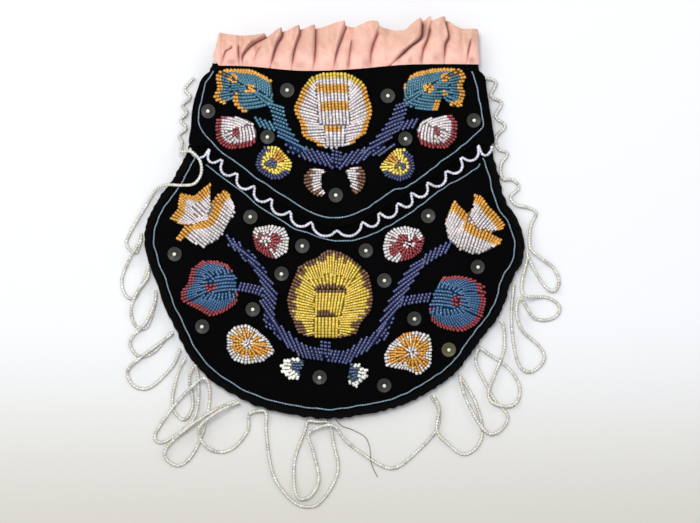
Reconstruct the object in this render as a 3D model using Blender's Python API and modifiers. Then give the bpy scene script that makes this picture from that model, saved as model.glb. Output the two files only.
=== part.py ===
"""A flat velvet bag with a shaped flap, raised glass beadwork and a beaded fringe.

The bag lies on its back on a table. +Z is up, out of the beaded front, +Y runs towards the
gathered ribbon at the mouth, and the origin is on the table under the middle of the bag.
Sizes are in millimetres and are turned into metres as the objects are made.
"""

import math

import bpy
import bmesh
import numpy as np
from mathutils import Vector
from mathutils.geometry import delaunay_2d_cdt

MM = 0.001

# Cloth
VELVET = 1.6
LINING = 0.5
BINDING = 0.5
FLAP = 1.4
RIBBON = 0.4
GAP = 0.3

# How the sewn bag swells between its seams
EDGE_LIFT = 1.2
BACK_REACH = 25.0
POUCH_RISE = 5.7
FRONT_REACH = 70.0

# Places of the sewing
BINDING_LIP = 2.2
LINING_SEAM = 8.0
LINE_INSET = 4.0
LINE_TOP = 27.5
LINING_DROP = 4.0
RIBBON_LAP = 1.5
BACK_RIBBON_LAP = 3.0
BACK_RIBBON_MARGIN = 9.0
RIBBON_MARGIN = 1.0

# Gathers of the ribbon, low at the stitches and full at the free edge
FRONT_GATHER = (0.5, 1.6)
BACK_GATHER = (0.3, 0.9)
FRONT_RIBBON_FALL = 3.4
BACK_RIBBON_FALL = 1.1

# Beadwork
COUCHED_LINE = 1.0
EDGING = 1.7
SCALLOP_DEPTH = 4.0
SCALLOP_ROUND = 0.7
SCALLOP_STRETCH = 1.6
FRINGE = 1.6
BEAD_RIM = 1.3
BEAD_CROWN = 2.2
CROWN_REACH = 6.0
DIP = 0.7
DIP_REACH = 2.4
SEQUIN = 6.6
SEQUIN_THICK = 0.5
SEQUIN_BEAD = 2.0

# How the fringe lies: it comes down from the seam to the table, and humps over what lies there
FRINGE_DESCENT = 9.0
HUMP_END = 9.0
HUMP_TOP = 3.0
OWN_LENGTH = 14.0

# Spacing of the mesh points
CLOTH_GRID = 12.0
LINING_GRID = 15.6
EDGE_STEP = 6.5
FLAP_SIDE_STEP = 8.4
FLAP_EDGE_STEP = 7.2
BEAD_GRID = 4.8
STEM_STEP = 3.6
DIP_GRID = 2.6
RIM_CLEARANCE = 0.45
LINE_CLEARANCE = 0.6
RIBBON_ROWS = 5
FOLD_POINTS = 4
SEQUIN_SIDES = 8
LINE_STEP = 6.0
EDGING_STEP = 2.8
FRINGE_STEP = 5.0
CORD_FINE = 1.5
SEAM_STEP = 2.0
CURVE_POINTS = 12
WELD = 0.01
SMOOTH_BELOW = 50

# The bag's outer edge, from the left end of the mouth round the bottom to the right end
BAG_EDGE = [
    (-51.5, 70), (-54.5, 63.5), (-57, 59), (-59, 53.5), (-60.5, 47), (-61, 39), (-62, 34),
    (-63.5, 30), (-66, 24.5), (-68.5, 20), (-72, 14.5), (-76.5, 8.5), (-80.5, 0.5),
    (-82.5, -6.5), (-81.5, -13.5), (-79.5, -21), (-76.5, -28), (-74.5, -35), (-71.5, -42),
    (-68, -49), (-65, -56), (-60, -63), (-53, -70), (-42, -77), (-34.5, -80.5), (-24.5, -83.5),
    (-10, -86), (0.5, -86.5), (14.5, -84.5), (29, -81), (42.5, -74), (54, -65.5), (62.5, -54),
    (70, -44.5), (74.5, -36), (77, -27), (81.5, -19.5), (83, -13), (81.5, -4), (78.5, 2.5),
    (74.5, 8.5), (72, 18.5), (69.5, 27), (68.5, 32), (68, 40.5), (67, 47), (65, 58.5), (61.5, 71),
]
FLAP_LEFT = [(-52.5, 70), (-55.5, 63.5), (-58, 59.5), (-60, 53.5), (-61.5, 47), (-62, 39), (-62.5, 32.5)]
FLAP_RIGHT = [(69.5, 33), (69, 40.5), (68, 47), (66, 58.5), (62.5, 71)]
# Where each scallop of the bead edging is stitched to the flap, left to right
FLAP_EDGE = [
    (-62.5, 32.5), (-53.5, 32), (-47.5, 27), (-41, 21), (-33.5, 15.5), (-26, 10), (-18, 4.5),
    (-9, 0), (1.5, -3.5), (12, 0), (19, 4), (27, 8), (33, 12.5), (40, 17), (48, 22), (54.5, 28),
    (62.5, 33.5), (69.5, 33),
]
RIBBON_FOOT = [(-52.5, 67), (-36.5, 66.5), (-14.5, 64.5), (7, 65), (29, 67), (46.5, 67.5), (63, 67.5)]
RIBBON_TOP = [
    (-52.5, 80.5), (-50, 82), (-38.5, 79.5), (-31, 79.5), (-25.5, 81.5), (-16.5, 83),
    (-7.5, 83.5), (5, 85), (8, 83.5), (16, 85.5), (22.5, 83.5), (31, 81.5), (35.5, 85.5),
    (39.5, 87), (49, 87), (55, 83), (63, 81.5),
]
# Where the gathers' creases meet the stitches
CREASES = [-52.5, -48.5, -40.5, -34.5, -27.5, -18, -8, -0.5, 6.5, 16.5, 24, 38.5, 48, 56.5, 63]

FLAP_LINE = [
    (-52, 64.5), (-55, 60.5), (-57, 53.5), (-58.5, 50), (-58, 45), (-58.5, 40), (-54.5, 35.5),
    (-49.5, 30), (-40.5, 23.5), (-33.5, 18), (-27.5, 14), (-19, 8.5), (-9.5, 3), (0, 0.5),
    (6, 1.5), (14.5, 5), (25.5, 12.5), (30.5, 13.5), (39.5, 19.5), (47, 25.5), (54, 30.5),
    (63, 38.5), (65, 42), (63.5, 50), (62, 59), (60.5, 64.5),
]
PANEL_INNER_LINE = [
    (-55.5, 24), (-46, 16.5), (-40, 12.5), (-33.5, 6.5), (-24, 0.5), (-15.5, -4.5), (-9, -6.5),
    (-1.5, -9), (8, -9), (17.5, -6), (28, -0.5), (37, 5.5), (46.5, 13), (52.5, 16.5), (59, 20),
    (64, 24),
]

FLAP_MOTIFS = {
    "leaf_left": ("teal_beads", [
        (-25.5, 50), (-26.5, 60.5), (-29, 62), (-32, 63.5), (-35, 65), (-39, 65.5), (-42.5, 65.5),
        (-46.5, 65.5), (-50, 64.5), (-51.5, 62), (-51, 60), (-50.5, 57), (-52.5, 53.5), (-51, 51),
        (-47, 49.5), (-44.8, 51.5), (-44.2, 56), (-43.6, 50), (-41.5, 48), (-38.5, 45.5), (-36, 47),
        (-29, 48.5)]),
    "leaf_right": ("teal_beads", [
        (30, 50), (30, 58), (34, 63.5), (42, 65.5), (49, 66), (54.5, 65.5), (58, 62.5), (56, 58),
        (57.5, 54.5), (55.5, 49), (51, 48.5), (47, 53), (45.5, 47.5), (42.5, 46.5), (37, 47.5),
        (31.5, 49)]),
    "shell": ("lilac_beads", [
        (0, 64.1), (-5.5, 63.7), (-10, 61.8), (-13.5, 57.3), (-16, 51.5), (-17.5, 48), (-16.5, 45),
        (-14.5, 41.5), (-14, 37), (-12.5, 35), (-8.5, 33.5), (-6.5, 31), (-1, 30.5), (4, 31),
        (8.5, 32), (10, 34), (14, 36.5), (15.5, 41.5), (17, 46.5), (16.5, 50), (15.5, 52.5),
        (14.5, 57), (12.5, 60), (8.5, 62.6), (4.5, 64)]),
    "rosette_left": ("lilac_beads", [
        (-44, 45), (-38, 44), (-35, 42.5), (-33, 38.5), (-33, 34), (-35, 31.5), (-40.5, 30.5),
        (-45, 30), (-49, 32.2), (-51, 35), (-51.5, 39.5), (-51, 43.5), (-47.5, 45.5)]),
    "rosette_right": ("lilac_beads", [
        (35.5, 39), (38.5, 43.5), (45.5, 45), (51, 46), (54, 42), (53.5, 35), (49, 30.5),
        (42, 30.5), (37, 32.5)]),
    "bud_left": ("yellow_beads", [
        (-30, 32), (-24, 32), (-22, 30), (-18, 25.5), (-17.5, 23.5), (-18.5, 20), (-22.5, 17),
        (-27, 17), (-31, 19.5), (-33, 21), (-34, 23.5), (-33, 28)]),
    "bud_right": ("yellow_beads", [
        (24, 28.5), (27, 31), (31, 31), (34.5, 27.5), (35.5, 22), (33.5, 18), (28.5, 16),
        (22, 18.5), (19.5, 23)]),
    "crescent_left": ("lilac_beads", [
        (-8, 22.8), (-2.8, 21.2), (-3, 20.2), (-5, 19.5), (-4.5, 13.5), (-3.5, 11), (-5, 9.5),
        (-8, 10), (-11, 12.5), (-13, 15.5), (-13, 19), (-10.5, 22)]),
    "crescent_right": ("lilac_beads", [
        (4.5, 21), (7.5, 22.8), (11.5, 23.5), (14, 20.5), (14, 16.5), (12.5, 12.5), (9.5, 10),
        (7.5, 12), (6.5, 17.5)]),
}
PANEL_MOTIFS = {
    "tulip_left": ("lilac_beads", [
        (-71.5, 0.5), (-68, 4.5), (-67, 12), (-60.5, 10.5), (-56.5, 14), (-53, 16.5), (-53, 7),
        (-50.5, 10.5), (-47.5, 13.5), (-45, 11), (-43, 6.5), (-42.5, 3), (-47.5, -6), (-50.5, -9.5),
        (-56.5, -12.5), (-61.5, -10), (-64, -8), (-66.5, -10), (-69, -8.5), (-65, -3), (-70, -1)]),
    "tulip_right": ("lilac_beads", [
        (52.5, 8.5), (58, 3), (60.5, 5), (60.5, 8.5), (61, 11.5), (64.5, 10.5), (67.5, 6),
        (71, 2.5), (75, -2.5), (73.5, -4.5), (68.5, -6), (73.5, -8.5), (72, -11.5), (66, -14.5),
        (62.5, -15.5), (56, -14), (51, -10.5), (49, -7.5), (48, -1.5), (49.5, 3.5)]),
    "small_rosette_left": ("lilac_beads", [
        (-34.5, -3.5), (-27, -2), (-21, -3.5), (-19, -8), (-19.5, -14), (-25, -17.5),
        (-29, -16.5), (-34, -13), (-35.5, -6.5)]),
    "small_rosette_right": ("lilac_beads", [
        (22.5, -6), (26, -3.5), (31, -2.5), (37, -4), (40, -8.5), (38, -14.5), (33.5, -17.5),
        (26.5, -19), (22, -17), (21, -12)]),
    "blue_flower_left": ("teal_beads", [
        (-62, -21), (-57, -17.5), (-50.5, -17.5), (-45, -19.5), (-42, -25), (-41, -31),
        (-41.5, -36.5), (-47, -40.5), (-53.5, -42.5), (-60.5, -38.5), (-66.5, -35.5), (-66.5, -31),
        (-63.5, -27.5)]),
    "blue_flower_right": ("teal_beads", [
        (44.5, -28.5), (47.5, -24.5), (54.5, -24), (61, -25.5), (65.5, -28.5), (66.5, -36),
        (65, -42), (62, -46), (56, -49), (51, -48.5), (45.5, -47), (42, -44), (41, -38),
        (43, -32.5)]),
    "yellow_flower": ("yellow_beads", [
        (-2.5, -12.5), (2.5, -13.5), (6.5, -15.5), (11.5, -19.5), (15.5, -23.5), (16.5, -28),
        (17.5, -35), (16, -40), (12, -45), (10, -50), (0.5, -52), (-11, -51), (-15.5, -49.5),
        (-17, -46), (-19.5, -40), (-20.5, -35), (-19.5, -30.5), (-17.5, -25.5), (-15.5, -20.5),
        (-11, -17.5), (-6.5, -15.5)]),
    "orange_bud_left": ("orange_beads", [
        (-46.5, -49.5), (-43, -46), (-37.5, -45), (-33, -47.5), (-28, -52), (-25, -57.5),
        (-30.5, -62), (-39, -63), (-44, -61), (-46.5, -56)]),
    "orange_bud_right": ("orange_beads", [
        (30, -49), (36, -48), (42, -50), (43, -56), (42.5, -63.5), (37, -68), (31.5, -65.5),
        (22.5, -64), (21.5, -59), (24, -54)]),
    "white_bud_left": ("white_beads", [
        (-17.5, -59.5), (-12, -61), (-14, -65), (-15, -70), (-18.5, -69.5), (-22.5, -66),
        (-23, -63.5), (-21, -60.5)]),
    "white_bud_right": ("white_beads", [
        (7, -62.5), (10, -62), (14.5, -65), (14.5, -69), (9.5, -73), (6.5, -71.5), (6, -66)]),
}
# Each branch of a stem: its width and its route
# The dips in the two biggest motifs, where one fan of bead lanes ends against the next
DIPS = {
    "shell": [
        [(-7.5, 56.8), (-6.8, 51.6), (-6.8, 41), (-4.4, 39.3), (-3.7, 32.5)],
        [(7.3, 57.5), (7.7, 41), (5.3, 39.3), (5.3, 33)],
        [(-5, 54.3), (5.5, 54.3)], [(-5, 46.9), (6, 46.9)],
        [(-9.5, 53), (-13.2, 55.5)], [(-9.5, 46.5), (-16, 46.5)], [(-9, 40.5), (-13.2, 38)],
        [(10, 53.5), (13.2, 55.8)], [(10, 47), (15.5, 47)], [(9.5, 40.5), (13, 38)],
        [(-2.5, 58), (-3.5, 61.5)], [(3.5, 58), (4.3, 61.5)],
    ],
    "yellow_flower": [
        [(-14, -21.5), (-8.3, -28.7), (-8.3, -42), (-8.3, -49.5)],
        [(12, -21.5), (6.1, -28.7), (3.4, -42), (2.3, -50)],
        [(-6.5, -30), (4.5, -30)], [(-6.5, -41.5), (2.5, -41.5)],
        [(-10.5, -34.5), (-18.8, -33.5)], [(-10.5, -40.5), (-17.8, -42)], [(-10, -46), (-14.5, -48)],
        [(7.5, -34.5), (15.8, -33.5)], [(6.5, -40.5), (14.3, -41.5)], [(5.5, -46), (10.5, -48)],
        [(-4, -25), (-6.3, -17.5)], [(2.5, -25), (4, -16)],
    ],
    "blue_flower_left": [
        [(-44.5, -25.2), (-50.9, -25.4), (-54, -27), (-54.8, -29.5), (-51.5, -31), (-44.5, -31)],
        [(-55.5, -27), (-61, -25.6)], [(-55.5, -31), (-62.5, -35)],
        [(-52, -23), (-52.9, -19.6)], [(-53, -33.5), (-54.8, -39)], [(-47.5, -33.5), (-47.5, -37.8)],
    ],
    "blue_flower_right": [
        [(44.5, -31.7), (50.9, -31.9), (54, -33.5), (54.8, -36), (51.5, -37.5), (44.5, -37.5)],
        [(55.5, -33.5), (61, -32.1)], [(55.5, -37.5), (61.5, -41)],
        [(52, -29.5), (52.9, -26.5)], [(53, -40), (54.5, -44.8)], [(47.5, -40), (47.5, -44)],
    ],
}

FLAP_STEM = [
    (4.5, [(1.5, 29.8), (1, 24)]),
    (5.2, [(1, 24.8), (-7, 27), (-13.5, 29.5), (-17, 32), (-19.5, 35.5), (-22.5, 41), (-24.5, 47.5)]),
    (3.5, [(-22, 39.5), (-27, 40.5), (-32.2, 42)]),
    (3.5, [(-13, 29), (-17, 30), (-19.6, 30.6)]),
    (5.0, [(0.5, 24.8), (6, 26), (14.5, 29), (19.5, 33), (24, 38.5), (27.5, 44), (29.2, 48)]),
    (3.5, [(24, 38.5), (30, 40.5), (35.5, 41.5)]),
    (3.5, [(16, 29.5), (20, 29.5), (23, 30)]),
]
PANEL_STEM = [
    (4.5, [(-3.5, -52.8), (-3.5, -59)]),
    (5.0, [(-3.5, -59), (-12.5, -57), (-19, -52.5), (-25, -47), (-28, -40.5), (-28, -33), (-29.5, -27),
           (-33, -20.5), (-38.5, -14.5)]),
    (3.8, [(-36, -17), (-41, -12.5), (-45.5, -9.5)]),
    (3.8, [(-28.5, -33), (-33.5, -30.5), (-40, -29.2)]),
    (3.5, [(-26, -45.5), (-30, -45)]),
    (5.0, [(-3.5, -59), (5, -59.5), (11, -56), (17.5, -52), (22, -46.5), (26, -37.5), (30.5, -29),
           (35.5, -20.5)]),
    (3.8, [(35, -21), (38.5, -18.5), (43, -15.5), (48.3, -12.5)]),
    (3.8, [(27, -36.5), (33, -35), (40.3, -34)]),
    (3.5, [(19, -50), (21.5, -50.6), (23.4, -50.8)]),
]
FLAP_SEQUINS = [(-20, 56), (23.5, 53.5), (-54.3, 47), (-28.5, 35.8), (60.8, 43), (31, 35), (1, 10.5)]
PANEL_SEQUINS = [
    (-36, 1), (-69, -15), (-13.5, -11.5), (-22.5, -23.5), (-35, -39), (-57, -46.5), (-6, -68.5),
    (41, 1.5), (14, -13.5), (62.5, -20.5), (22, -26.5), (35, -43), (50, -56.5), (22, -72),
]

# Fringe: each strand's stitches and loops, as (x, y); a third number lifts it over the bag
FRINGE_ROUTES = {
    "fringe_left": [
        (-61, 62), (-65, 57), (-62.5, 53.5), (-66, 50), (-63.8, 46.5), (-67, 43.5), (-64.2, 40),
        (-67.5, 37), (-66, 33.5, 4), (-66.5, 29.5, 7.3), (-62, 29.5, 9.9), (-58, 25.5, 9.9),
        (-57.5, 20, 8.8), (-60.5, 15.5, 8.4), (-66, 14.8, 7.8), (-72.5, 15, 7.4), (-77.5, 13, 4.5),
        (-82.5, 5), (-89, -6), (-90.5, -11), (-86.5, -14.5), (-84, -9), (-84, -6),
        (-84.5, -9.5), (-89, -17), (-92.5, -26), (-91, -33), (-86.5, -34), (-82, -24), (-81, -20),
        (-81, -25), (-86, -32), (-88.5, -40), (-86.5, -46.5), (-81.5, -47), (-78, -37), (-77.5, -31),
        (-78, -36), (-82, -45), (-88.5, -52), (-88, -57), (-84, -60), (-78, -57.5), (-72, -50.5),
        (-70, -49), (-72, -51), (-84, -60), (-90, -66), (-88, -72), (-82.5, -74), (-77, -71),
        (-70, -63.5), (-67, -56.5)],
    "fringe_lower_left": [
        (-64.5, -60), (-68, -67), (-70.5, -81), (-65.5, -87.5), (-61.5, -81), (-63, -70), (-61, -64),
        (-59.5, -66), (-59, -77), (-61, -87), (-69, -94), (-75.5, -97.5), (-78, -94), (-71, -83),
        (-62, -73), (-56, -69), (-54, -76), (-56, -89.5), (-61.5, -102.5), (-68, -107.5),
        (-73.5, -104), (-72.5, -99), (-64, -91), (-52, -83), (-42, -79)],
    "fringe_bottom": [
        (-41, -79.5), (-50, -83.5), (-58.5, -90.5), (-57, -97.5), (-50.5, -101.5), (-43.5, -99.5),
        (-37.5, -92), (-37, -85), (-33, -83.5), (-29.5, -84), (-29.5, -91.5), (-28, -105),
        (-25.5, -113.5), (-21, -120), (-16.5, -124), (-11.5, -125.5), (-6.5, -124), (-1, -117),
        (2, -108.5), (0, -98), (-2, -89), (-7, -88.2), (-11.5, -88), (-12.5, -92), (-17, -105),
        (-17, -118), (-14.5, -122), (-9.5, -120), (-6.5, -113), (-9, -101), (-11, -93.5), (-5, -90),
        (0.5, -90), (4, -95), (9.5, -100), (20, -107), (26.5, -108.5), (33.5, -104), (44.5, -92.5),
        (46, -84), (42.5, -77)],
    "fringe_lower_right": [
        (43.5, -76.5), (46, -82.5), (45, -92), (50, -98), (56.5, -102.5), (62.5, -99.5),
        (65, -92), (62, -80), (56, -69.5), (54.8, -67.5), (57.5, -77.5), (63.5, -89), (68.5, -93.5),
        (74, -91), (76, -85.5), (70.5, -79), (65.5, -70), (62, -62), (63.5, -56), (68, -59),
        (76, -64.5), (81, -72), (80.5, -79), (75.5, -81.5), (69, -79.5), (67.5, -75), (70.5, -67),
        (74.5, -56), (74, -46), (72, -43.5)],
    "fringe_right": [
        (78.5, -28), (77.5, -44.5), (79.5, -59.5), (82.5, -65.5), (87.5, -66), (92, -61), (90, -55.5),
        (82, -48), (79.5, -40), (81.5, -34), (86.5, -42), (92, -44), (97.5, -42), (98.5, -37.5),
        (93, -34), (83, -33), (82, -27), (84.5, -17), (84, -14), (86.5, -20), (90, -26), (93, -30),
        (96.5, -31), (98.5, -27), (96, -21), (90, -16.5), (85.5, -12), (86, -3), (88.5, 3),
        (84, 5.5), (79.5, 6.5), (77, 10), (81, 14), (78, 17.5), (73.5, 18), (73, 24), (76, 29),
        (71.5, 31), (70.8, 36), (75, 41), (70.5, 45), (73.5, 51), (68.5, 54), (71, 60), (66, 62)],
}

COLOURS = {
    "velvet": ((0.010, 0.010, 0.014), 0.95),
    "lining": ((0.36, 0.30, 0.24), 0.7),
    "binding": ((0.012, 0.012, 0.018), 0.8),
    "ribbon": ((0.85, 0.42, 0.36), 0.45),
    "line_beads": ((0.35, 0.50, 0.62), 0.25),
    "edging_beads": ((0.75, 0.75, 0.85), 0.25),
    "teal_beads": ((0.03, 0.15, 0.27), 0.2),
    "lilac_beads": ((0.60, 0.56, 0.68), 0.25),
    "yellow_beads": ((0.80, 0.58, 0.13), 0.3),
    "orange_beads": ((0.72, 0.33, 0.03), 0.25),
    "white_beads": ((0.86, 0.85, 0.78), 0.3),
    "stem_beads": ((0.03, 0.04, 0.20), 0.2),
    "sequin": ((0.05, 0.05, 0.035), 0.35),
    "brass_sequin": ((0.35, 0.31, 0.15), 0.35),
    "fringe_beads": ((0.72, 0.72, 0.66), 0.2),
}


def smooth(points, step):
    """A smooth curve through the points (Catmull-Rom), read again at even steps."""
    p = np.asarray(points, float)
    p = np.vstack([2 * p[:1] - p[1:2], p, 2 * p[-1:] - p[-2:-1]])
    t = np.linspace(0, 1, CURVE_POINTS, endpoint=False)[None, :, None]
    a, b, c, d = p[:-3, None], p[1:-2, None], p[2:-1, None], p[3:, None]
    curve = 0.5 * (2 * b + (c - a) * t + (2 * a - 5 * b + 4 * c - d) * t**2
                   + (3 * b - a - 3 * c + d) * t**3)
    curve = np.vstack([curve.reshape(-1, p.shape[1]), p[-2:-1]])
    return even_steps(curve, step)


def even_steps(curve, step):
    """The same line read at even distances of about one step."""
    lengths = np.linalg.norm(np.diff(curve[:, :2], axis=0), axis=1)
    along = np.concatenate([[0], np.cumsum(lengths)])
    count = max(2, int(round(along[-1] / step)) + 1)
    places = np.linspace(0, along[-1], count)
    return np.stack([np.interp(places, along, curve[:, k]) for k in range(curve.shape[1])], axis=1)


def side_normals(line):
    """Unit normals to the left of the line's direction, seen from above."""
    run = np.gradient(line[:, :2], axis=0)
    run /= np.linalg.norm(run, axis=1)[:, None]
    return np.stack([-run[:, 1], run[:, 0]], axis=1)


def line_distance(points, line):
    """Distance from each point to the nearest stretch of an open line."""
    p = np.asarray(points, float)[:, None, :2]
    a, b = line[None, :-1, :2], line[None, 1:, :2]
    ab = b - a
    t = np.clip(((p - a) * ab).sum(2) / (ab**2).sum(2), 0, 1)
    return np.linalg.norm(p - a - ab * t[..., None], axis=2).min(axis=1)


def inside(points, ring):
    """Which points lie inside a closed ring, by counting crossings."""
    x, y = np.asarray(points, float)[:, None, 0], np.asarray(points, float)[:, None, 1]
    a, b = ring[None], np.roll(ring, -1, axis=0)[None]
    spans = (a[..., 1] > y) != (b[..., 1] > y)
    rise = np.where(spans, b[..., 1] - a[..., 1], 1.0)
    cross = a[..., 0] + (y - a[..., 1]) * (b[..., 0] - a[..., 0]) / rise
    return (spans & (x < cross)).sum(axis=1) % 2 == 1


OUTER_EDGE = smooth(BAG_EDGE, SEAM_STEP)
PANEL_EDGE = OUTER_EDGE + side_normals(OUTER_EDGE) * (BINDING + GAP)
FOOT = smooth(RIBBON_FOOT, SEAM_STEP)
TOP = smooth(RIBBON_TOP, SEAM_STEP)
# The panels' outline is closed far above the mouth for the test of what lies inside it
SKY = 200.0
SEWN_RING = np.vstack([PANEL_EDGE, [(PANEL_EDGE[-1, 0], SKY), (PANEL_EDGE[0, 0], SKY)]])
CENTRE = Vector((
    (OUTER_EDGE[:, 0].min() + OUTER_EDGE[:, 0].max()) / 2,
    (OUTER_EDGE[:, 1].min() + TOP[:, 1].max()) / 2,
    0.0,
))


def mouth_y(x):
    """Height of the velvet's top edge, a little above the ribbon's stitches."""
    return np.interp(x, FOOT[:, 0], FOOT[:, 1]) + RIBBON_LAP


def depth(points):
    """How far each point lies inside the sewn edge; nothing beyond it."""
    return np.where(inside(points, SEWN_RING), line_distance(points, PANEL_EDGE), 0.0)


def swell(d, reach):
    """0 at a seam, rising smoothly to 1 at the reach."""
    return 1 - (1 - np.clip(d / reach, 0, 1)) ** 2


def eased(share):
    """0 to 1 with a level start and end."""
    s = np.clip(share, 0, 1)
    return s * s * (3 - 2 * s)


def back_outside(points):
    return EDGE_LIFT * (1 - swell(depth(points), BACK_REACH))


def back_inside(points):
    return back_outside(points) + VELVET


def front_inside(points):
    return EDGE_LIFT + VELVET + GAP + POUCH_RISE * swell(depth(points), FRONT_REACH)


def front_outside(points):
    return front_inside(points) + VELVET


def flap_inside(points):
    return front_outside(points) + BINDING + 2 * GAP


def flap_outside(points):
    return flap_inside(points) + FLAP


def below_mouth(line, drop=0.0):
    """The stretch of an edge that lies under the mouth's line."""
    return line[line[:, 1] < mouth_y(line[:, 0]) - drop]


EDGE_POINTS = even_steps(below_mouth(PANEL_EDGE), EDGE_STEP)


def closed_outline(edge, drop=0.0):
    """An edge closed along the mouth, as one ring of points."""
    start, end = edge[-1, 0], edge[0, 0]
    count = int(abs(start - end) / CLOTH_GRID)
    x = np.linspace(start, end, count + 2)[1:-1]
    return np.vstack([edge, np.stack([x, mouth_y(x) - drop], axis=1)])


def pattern(rings, grid, lines=()):
    """Triangles that fill the rings together, with extra points on a grid and along lines inside them."""
    corners = np.vstack([ring[:, :2] for ring in rings])
    low, high = corners.min(axis=0), corners.max(axis=0)
    x, y = np.meshgrid(np.arange(low[0], high[0], grid), np.arange(low[1], high[1], grid))
    x = x + np.where(np.arange(x.shape[0]) % 2, grid / 2, 0)[:, None]
    seeds = np.stack([x.ravel(), y.ravel()], axis=1)
    keep = np.zeros(len(seeds), bool)
    for ring in rings:
        rim = np.vstack([ring, ring[:1]])
        keep |= inside(seeds, ring[:, :2]) & (line_distance(seeds, rim) > grid * RIM_CLEARANCE)
    for line in lines:
        keep &= line_distance(seeds, line) > grid * LINE_CLEARANCE
    seeds = np.vstack([seeds[keep], *lines])
    faces = []
    first = 0
    for ring in rings:
        faces.append(list(range(first, first + len(ring))))
        first += len(ring)
    points = [Vector(p) for p in np.vstack([corners, seeds])]
    filled = delaunay_2d_cdt(points, [], faces, 1, WELD * MM)
    return np.array([tuple(v) for v in filled[0]]), filled[2]


def material(slot):
    """A plain coat for one kind of piece."""
    coat = bpy.data.materials.get(slot)
    if coat is None:
        colour, roughness = COLOURS[slot]
        coat = bpy.data.materials.new(slot)
        coat.use_nodes = True
        shader = coat.node_tree.nodes["Principled BSDF"]
        shader.inputs["Base Color"].default_value = (*colour, 1.0)
        shader.inputs["Roughness"].default_value = roughness
    return coat


def place(name, data, slot):
    """Put a piece in the bag's collection, with the origin under the middle of the bag."""
    piece = bpy.data.objects.new(name, data)
    piece.location = -CENTRE * MM
    data.materials.append(material(slot))
    BAG.objects.link(piece)
    return piece


def surface_piece(name, points, faces, slot):
    """A cloth surface from points in millimetres."""
    mesh = bpy.data.meshes.new(name)
    mesh.from_pydata((points * MM).tolist(), [], faces)
    mesh.shade_smooth()
    mesh.set_sharp_from_angle(angle=math.radians(SMOOTH_BELOW))
    return place(name, mesh, slot)


def thicken(piece, thickness, weights=None):
    """Give a surface its thickness on its upper side."""
    wall = piece.modifiers.new("wall", "SOLIDIFY")
    wall.thickness = thickness * MM
    wall.offset = 1.0
    if weights is not None:
        group = piece.vertex_groups.new(name="height")
        for index, weight in enumerate(weights):
            group.add([index], float(weight), "REPLACE")
        wall.vertex_group = "height"


def cloth(name, ring, height, thickness, slot, grid=CLOTH_GRID):
    """A piece of cloth cut to a ring and laid at a height."""
    flat, faces = pattern([ring], grid)
    points = np.column_stack([flat, height(flat)])
    thicken(surface_piece(name, points, faces, slot), thickness)


def raised_beads(name, rings, height, slot):
    """A raised patch of beads: a rim all round, a crown towards its middle, and a dip wherever two of
    its fans of lanes meet."""
    dips = [even_steps(np.array(line, float), DIP_GRID) for line in DIPS.get(name, [])]
    flat, faces = pattern(rings, DIP_GRID if dips else BEAD_GRID, dips)
    points = np.column_stack([flat, height(flat) + GAP])
    crown = BEAD_CROWN * swell(segment_distance(flat, boundary_lines(flat, faces)), CROWN_REACH)
    for line in dips:
        crown = crown - DIP * (1 - swell(line_distance(flat, line), DIP_REACH))
    full = BEAD_RIM + BEAD_CROWN
    thicken(surface_piece(name, points, faces, slot), full, (BEAD_RIM + np.maximum(crown, 0)) / full)


def boundary_lines(flat, faces):
    """The edges that only one triangle uses, as pairs of points."""
    pairs = {}
    for face in faces:
        for a, b in zip(face, face[1:] + face[:1]):
            key = (min(a, b), max(a, b))
            pairs[key] = pairs.get(key, 0) + 1
    rim = np.array([key for key, uses in pairs.items() if uses == 1])
    return flat[rim]


def segment_distance(points, segments):
    """Distance from each point to the nearest of many separate segments."""
    p = points[:, None]
    a, b = segments[None, :, 0], segments[None, :, 1]
    ab = b - a
    t = np.clip(((p - a) * ab).sum(2) / (ab**2).sum(2), 0, 1)
    return np.linalg.norm(p - a - ab * t[..., None], axis=2).min(axis=1)


def strip_ring(width, route):
    """The outline of a band of even width along a route."""
    line = smooth(route, STEM_STEP)
    side = side_normals(line) * width / 2
    return np.vstack([line - side, (line + side)[::-1]])


def tube(name, points, diameter, slot):
    """A round thread along points in millimetres, closed at both ends."""
    curve = bpy.data.curves.new(name, "CURVE")
    curve.dimensions = "3D"
    curve.bevel_depth = diameter / 2 * MM
    curve.bevel_resolution = 0
    curve.use_fill_caps = True
    spline = curve.splines.new("POLY")
    spline.points.add(len(points) - 1)
    flat = np.column_stack([points * MM, np.ones(len(points))])
    spline.points.foreach_set("co", flat.ravel())
    return place(name, curve, slot)


def couched_line(name, route, height):
    """A line of beads sewn flat on the cloth."""
    line = smooth(route, LINE_STEP)
    z = height(line) + GAP + COUCHED_LINE / 2
    tube(name, np.column_stack([line, z]), COUCHED_LINE, "line_beads")


def panels():
    """Velvet front and back, their linings, and the tape bound round the seam."""
    ring = closed_outline(EDGE_POINTS)
    cloth("back_panel", ring, back_outside, VELVET, "velvet")
    cloth("front_panel", ring, front_inside, VELVET, "velvet")
    inner = PANEL_EDGE + side_normals(PANEL_EDGE) * LINING_SEAM
    inner = even_steps(below_mouth(inner, LINING_DROP), CLOTH_GRID)
    ring = closed_outline(inner, LINING_DROP)
    cloth("back_lining", ring, lambda p: back_inside(p) + GAP, LINING, "lining", LINING_GRID)
    cloth("front_lining", ring, lambda p: front_inside(p) - GAP - LINING, LINING, "lining", LINING_GRID)
    edge_binding()


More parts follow.
